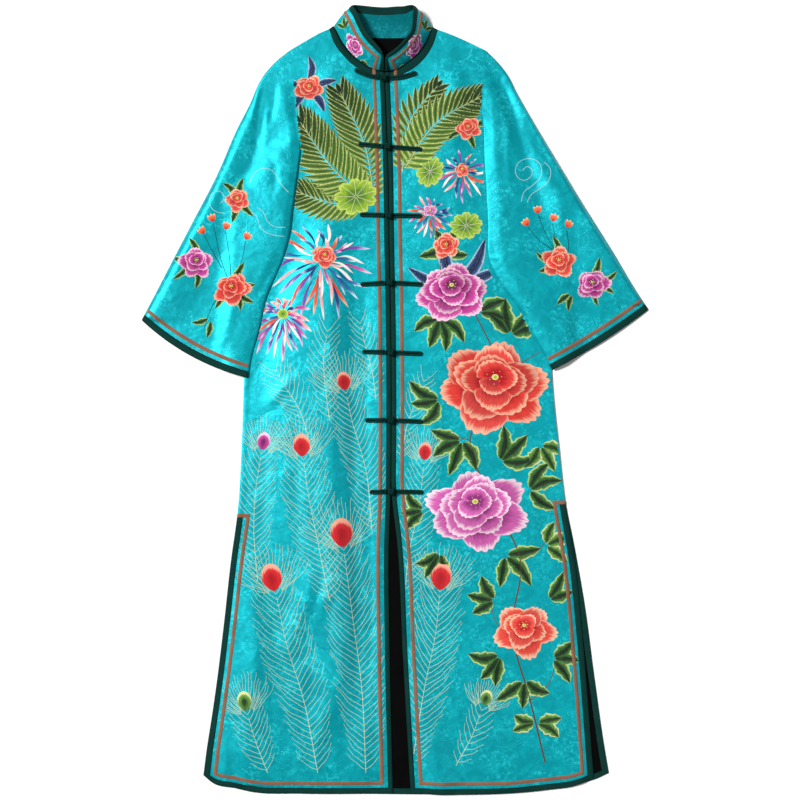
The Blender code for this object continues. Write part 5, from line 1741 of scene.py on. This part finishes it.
def frond(work, places, count, longest, width, lift=0.0):
    """A feathered palm leaf: blades at both sides of a rib, from near tones to far ones."""
    rib = curve(spots(*places), FROND_POINTS)
    ahead, _ = along_spine(rib)
    for k in range(count):
        t = (k + 0.7) / (count + 0.7)
        at = round((FROND_POINTS - 1) * t)
        length = longest * sin(pi * (0.16 + 0.70 * t)) ** 0.7
        for side in (1, -1):
            start = rib[at]
            way = turned(side * (PALM_LEAN[0] + (PALM_LEAN[1] - PALM_LEAN[0]) * t)) @ ahead[at]
            bend = 0.16 * length * ahead[at]
            spine = [start, start + 0.5 * length * way + 0.2 * bend, start + length * way + bend]
            work.leaf(spine, width, blend(PALM_NEAR, PALM_FAR, t), rows=9, columns=4, full=0.45,
                      plump=0.5, lift=lift + PAD_LAYER * (k % 2))
    tip = rib[-1] + 0.5 * longest * 0.6 * ahead[-1]
    work.leaf([rib[-3], tip], width, PALM_FAR, columns=4, lift=lift)
    work.line(rib, FROND_RIB_WIDTH, PALM_NEAR[2], lift=lift + 0.0002, taper=0.6)


def mum(work, at, radius, rng, droop=(0.0, -0.2), tiers=MUM_TIERS):
    """A thread-petalled chrysanthemum: tiers of long narrow curled rays in mixed colours."""
    place, lift = spot(*at), 0.0
    for count, start, end, width in tiers:
        first = rng.uniform(0, 2 * pi)
        for k in range(count):
            out = heading(first + 2 * pi * (k + rng.uniform(-0.25, 0.25)) / count)
            side = np.array([-out[1], out[0]]) * rng.uniform(-0.22, 0.22)
            far = radius * end * rng.uniform(0.82, 1.10)
            hang = radius * np.array(droop) * end
            spine = [place + radius * start * out,
                     place + far * 0.55 * (out + side * 0.6) + 0.3 * hang,
                     place + far * (out - 0.4 * side) + hang]
            tones = RAYS[int(rng.integers(len(RAYS)))]
            work.leaf(spine, width * rng.uniform(0.8, 1.15), tones, rows=10, columns=4, full=0.62,
                      straight=True, plump=0.5, lift=lift + PAD_LAYER * (k % 3) * 0.7)
        lift += 1.5 * PAD_LAYER


def barb(work, start, angle, side, lean, length, rng):
    """A fine wavy thread that leaves a stalk and bends towards the stalk's own way."""
    s = np.linspace(0.0, 1.0, max(6, round(length / BARB_STEP)))
    wave = 0.20 * np.sin(2 * pi * (rng.uniform(1.3, 2.1) * s + rng.uniform(0, 1)))
    turn = angle + side * lean * (1.0 - 0.45 * s) + wave * np.sqrt(s)
    moves = length / (len(s) - 1) * np.column_stack([np.cos(turn), np.sin(turn)])
    places = start + np.vstack([[0.0, 0.0], np.cumsum(moves[1:], axis=0)])
    work.line(places, LINE_WIDTH, FEATHER, taper=0.7)


def plume(work, places, longest, pairs, head, rng):
    """A reed plume in fine couched lines: a stalk with barbs at both sides, spread at its head."""
    stalk = curve(spots(*places), STALK_POINTS_A_PAIR * pairs)
    ahead, _ = along_spine(stalk)
    work.line(stalk[::STALK_POINTS_A_PAIR], STALK_WIDTH, FEATHER, taper=0.6)
    for k in range(pairs):
        t = (k + 0.5) / pairs
        at = STALK_POINTS_A_PAIR * k + STALK_POINTS_A_PAIR // 2
        angle = atan2(ahead[at][1], ahead[at][0])
        for side in (1, -1):
            length = longest * (sin(pi * (0.14 + 0.62 * t)) ** 0.8) * rng.uniform(0.88, 1.08)
            lean = 1.10 - 0.35 * t + rng.uniform(-0.05, 0.05)
            barb(work, stalk[at], angle, side, lean, length, rng)
    if head:
        angle = atan2(ahead[-1][1], ahead[-1][0])
        half = HEAD_BARBS // 2
        for k in range(HEAD_BARBS):
            lean = (k - half) / half
            start = stalk[-1] + HEAD_START * heading(angle + 1.5 * lean)
            length = head * rng.uniform(0.85, 1.1)
            barb(work, start, angle, np.sign(lean), 1.25 * abs(lean), length, rng)


def plumes_and_drops(plumes, drops, work, over, rng):
    """Rows of plumes in one piece, and of drop-shaped pads over them in the same or another."""
    for row in plumes:
        plume(work, *row, rng)
    for across, down, wide, tall, turn, tones in drops:
        over.bud(spot(across, down), wide, tall, tones, lift=PAD_EDGE, turn=turn + pi,
                 point=DROP_POINT, cells=12)


def stem(work, places, width, colour):
    points = spots(*places)
    line = curve(points, max(6, round(reach(points) / STEM_STEP)))
    work.line(line, width, colour, tall=STEM_HEIGHT, taper=0.7)


def foliage(work, at, ways, length, width, rng, tones=LEAF, rib=RIB, teeth=3, start=0.0):
    """Leaves round a place, each towards one of the ways, in degrees."""
    for k, way in enumerate(ways):
        out = heading(way * pi / 180 + rng.uniform(-0.12, 0.12))
        long = length * rng.uniform(0.85, 1.15)
        side = np.array([-out[1], out[0]]) * long * rng.uniform(-0.16, 0.16)
        base = spot(*at) + start * out
        spine = [base, base + 0.5 * long * out + side, base + long * out]
        lift = PAD_LAYER * 0.5 * (k % 2)
        work.leaf(spine, width * rng.uniform(0.9, 1.1), tones, rows=4 * max(teeth, 2) + 2,
                  teeth=teeth, full=0.42, lift=lift)
        work.line(curve(spine, 7)[:-1], LEAF_RIB_WIDTH, rib, lift=PAD_EDGE + lift, taper=0.5)


def round_leaf(work, at, radius, turn, lift=0.0):
    """A round leaf of broad lobes with ribs that spread from its middle."""
    work.origin, work.size = spot(*at), radius
    shape = turned(turn) @ np.diag([radius, radius * 0.82])
    for k in range(ROUND_LOBES):
        angle = 2 * pi * k / ROUND_LOBES
        work.petal(0.02 * heading(angle), angle, 1.0, 0.84, LIME, shape,
                   lift=lift + PAD_LAYER * (k % 2) * 0.6, lobes=2)
        rib = np.linspace(0.06, 1.0, 6)[:, None] * (shape @ (0.86 * heading(angle)))
        work.line(work.origin + rib, ROUND_RIB_WIDTH, LEAF_VEIN, lift=lift + 0.00018)


def make_camera():
    """Looks straight down, as at a garment laid on a table."""
    data = bpy.data.cameras.new("camera")
    data.lens = LENS
    data.sensor_width = SENSOR
    camera = linked("camera", data)
    camera.location = (*VIEW_CENTRE, VIEW_WIDTH * LENS / SENSOR)
    bpy.context.scene.camera = camera


def make_lamp(name, location, size, power, colour):
    data = bpy.data.lights.new(name, "AREA")
    data.shape = "DISK"
    data.size = size
    data.energy = power
    data.color = colour
    lamp = linked(name, data)
    lamp.location = location
    aim = Vector((0.0, 0.0, 0.0)) - Vector(location)
    lamp.rotation_euler = aim.to_track_quat("-Z", "Y").to_euler()


def make_stage():
    mesh = bpy.data.meshes.new("floor")
    half = FLOOR_HALF
    corners = [(-half, -half), (half, -half), (half, half), (-half, half)]
    mesh.from_pydata([(x, y, FLOOR_LEVEL) for x, y in corners], [], [(0, 1, 2, 3)])
    mesh.materials.append(floor_material())
    floor = linked("floor", mesh)
    world = bpy.data.worlds.new("studio")
    world.use_nodes = True
    world.node_tree.nodes["Background"].inputs["Color"].default_value = (1.0, 1.0, 1.0, 1.0)
    world.node_tree.nodes["Background"].inputs["Strength"].default_value = WORLD_STRENGTH
    bpy.context.scene.world = world
    for lamp in LAMPS:
        make_lamp(*lamp)
    bpy.context.scene.view_settings.view_transform = "Standard"


def stitch_left_front(ground):
    """Palm fronds, round leaves and thread-petalled flowers over the chest, plumes up the skirt."""
    rng = np.random.default_rng(11)
    names = ("stitch_chest_left", "stitch_rays_left", "stitch_plumes_left", "stitch_buds_left")
    chest, flowers, plumes, drops = works = [Stitching(name, ground) for name in names]
    frond(chest, ((374, 198), (366, 150), (340, 92)), 19, 0.046, 0.0094)
    frond(chest, ((362, 206), (330, 203), (292, 190)), 14, 0.036, 0.0090, lift=0.0002)
    frond(chest, ((368, 200), (336, 172), (300, 122)), 20, 0.050, 0.0096, lift=0.0004)
    round_leaf(chest, (356, 197), 0.033, 0.3, lift=0.0007)
    foliage(chest, (309, 88), (20, 95, 165, 235, 300), 0.034, 0.0135, rng, NAVY, PALE, teeth=0,
            start=0.010)
    chest.blossom((309, 88), 0.046, 0.040, CORAL, rng)
    mum(flowers, (322, 262), 0.076, rng)
    mum(flowers, (283, 316), 0.050, rng, droop=(-0.1, -0.35))
    flowers.blossom((325, 256), 0.040, 0.034, CORAL, rng, lift=0.0005)
    flowers.bud(spot(283, 314), 0.017, 0.015, LIME, lift=0.0005)
    plumes_and_drops(LEFT_PLUMES, LEFT_BUDS, plumes, drops, rng)
    return [work.make() for work in works]


def stitch_right_front(ground):
    """A frond and small flowers over the chest, a climbing stem of full flowers, and plumes."""
    rng = np.random.default_rng(23)
    names = ("stitch_chest_right", "stitch_plumes_right", "stitch_leaves_right")
    chest, plumes, leaves = works = [Stitching(name, ground) for name in names]
    frond(chest, ((402, 172), (412, 118), (438, 86)), 14, 0.034, 0.0088)
    frond(chest, ((405, 168), (434, 126), (482, 96)), 19, 0.042, 0.0094, lift=0.0002)
    round_leaf(chest, (430, 172), 0.024, 1.1, lift=0.0001)
    mum(chest, (462, 172), 0.040, rng, tiers=SMALL_TIERS)
    mum(chest, (430, 214), 0.034, rng, tiers=SMALL_TIERS)
    chest.blossom((462, 170), 0.024, 0.021, CORAL, rng, lift=0.0004)
    chest.blossom((430, 211), 0.022, 0.019, ROSE, rng, lift=0.0004)
    foliage(chest, (468, 128), (10, 80, 150, 215, 290), 0.030, 0.012, rng, start=0.008)
    chest.blossom((468, 128), 0.038, 0.034, CORAL, rng)
    round_leaf(chest, (466, 226), 0.025, 0.2, lift=0.0001)
    plumes_and_drops(RIGHT_PLUMES, RIGHT_BUDS, plumes, plumes, rng)

    stem(leaves, CLIMBER, CLIMBER_WIDTH, BARK)
    for places in SIDE_STEMS:
        stem(leaves, places, SIDE_STEM_WIDTH, TWIG)
    for across, down, ways, length, width, tones in RIGHT_LEAVES:
        kind = {"rib": PALE, "teeth": 0} if tones is NAVY else {}
        foliage(leaves, (across, down), ways, length, width, rng, tones, start=0.004, **kind)
    for number, (across, down, wide, tall, turn, tones) in enumerate(RIGHT_FLOWERS, start=1):
        works.append(Stitching(f"stitch_flower_right_{number}", ground))
        rings = BLOSSOM_RINGS if wide > FULL_FLOWER else SMALL_RINGS
        works[-1].blossom((across, down), wide, tall, tones, rng, rings, turn)
    return [work.make() for work in works]


def stitch_sleeve(side, seed, ground):
    """A spray of two or three flowers, pointed buds and leaves, with pale scrolls above it."""
    rng = np.random.default_rng(seed)
    work = Stitching(f"stitch_sleeve_{side}", ground)
    spray = SLEEVE_SPRAYS[side]
    for places in spray["scrolls"]:
        work.line(cut_corners(spots(*places)), SCROLL_WIDTH, PALE)
    for places in spray["stems"]:
        stem(work, places, SPRAY_STEM_WIDTH, STALK)
    for across, down, ways, length, width in spray["leaves"]:
        foliage(work, (across, down), ways, length, width, rng, start=0.006)
    for across, down, way in spray["buds"]:
        place = spot(across, down)
        for turn in (-SLEEVE_BUD_SPREAD, SLEEVE_BUD_SPREAD, 0):
            tip = place + SLEEVE_BUD_LENGTH * heading((way + turn) * pi / 180)
            work.leaf([place, tip], SLEEVE_BUD_WIDTH, ORANGE, rows=8, columns=4, straight=True,
                      lift=PAD_LAYER * (turn == 0) * 2)
    for across, down, wide, tall, turn, tones in spray["flowers"]:
        work.blossom((across, down), wide, tall, tones, rng, turn=turn)
    return work.make()


def stitch_collar(ground):
    """A flower between leaves on each side of the stand collar."""
    rng = np.random.default_rng(41)
    work = Stitching("stitch_collar", ground)
    for across, down, turn, ways_near, ways_far, near, far in COLLAR_SPRAYS:
        foliage(work, near, ways_near, 0.014, 0.0060, rng, teeth=2, start=0.001)
        foliage(work, far, ways_far, 0.016, 0.0065, rng, teeth=2, start=0.001)
        work.blossom((across, down), 0.038, 0.024, DEEP, rng, turn=turn, heart=MAGENTA)
    return work.make()


make_camera()
make_stage()
back = make_back()
front_left, front_right = make_front("left", LEFT_FRONT), make_front("right", RIGHT_FRONT)
sleeve_left, sleeve_right = make_sleeve("left", LEFT_SLEEVE), make_sleeve("right", RIGHT_SLEEVE)
collar = make_collar()
make_frogs()

fronts, sleeves = [front_left[0], front_right[0]], [sleeve_left[0], sleeve_right[0]]
bodies = Ground(fronts, sleeves + [front_left[1], front_right[1]])
arms = Ground(sleeves)
front_left += stitch_left_front(bodies)
front_right += stitch_right_front(bodies)
sleeve_left.append(stitch_sleeve("left", 31, arms))
sleeve_right.append(stitch_sleeve("right", 37, arms))
collar.append(stitch_collar(Ground([collar[0]], slanted=True)))
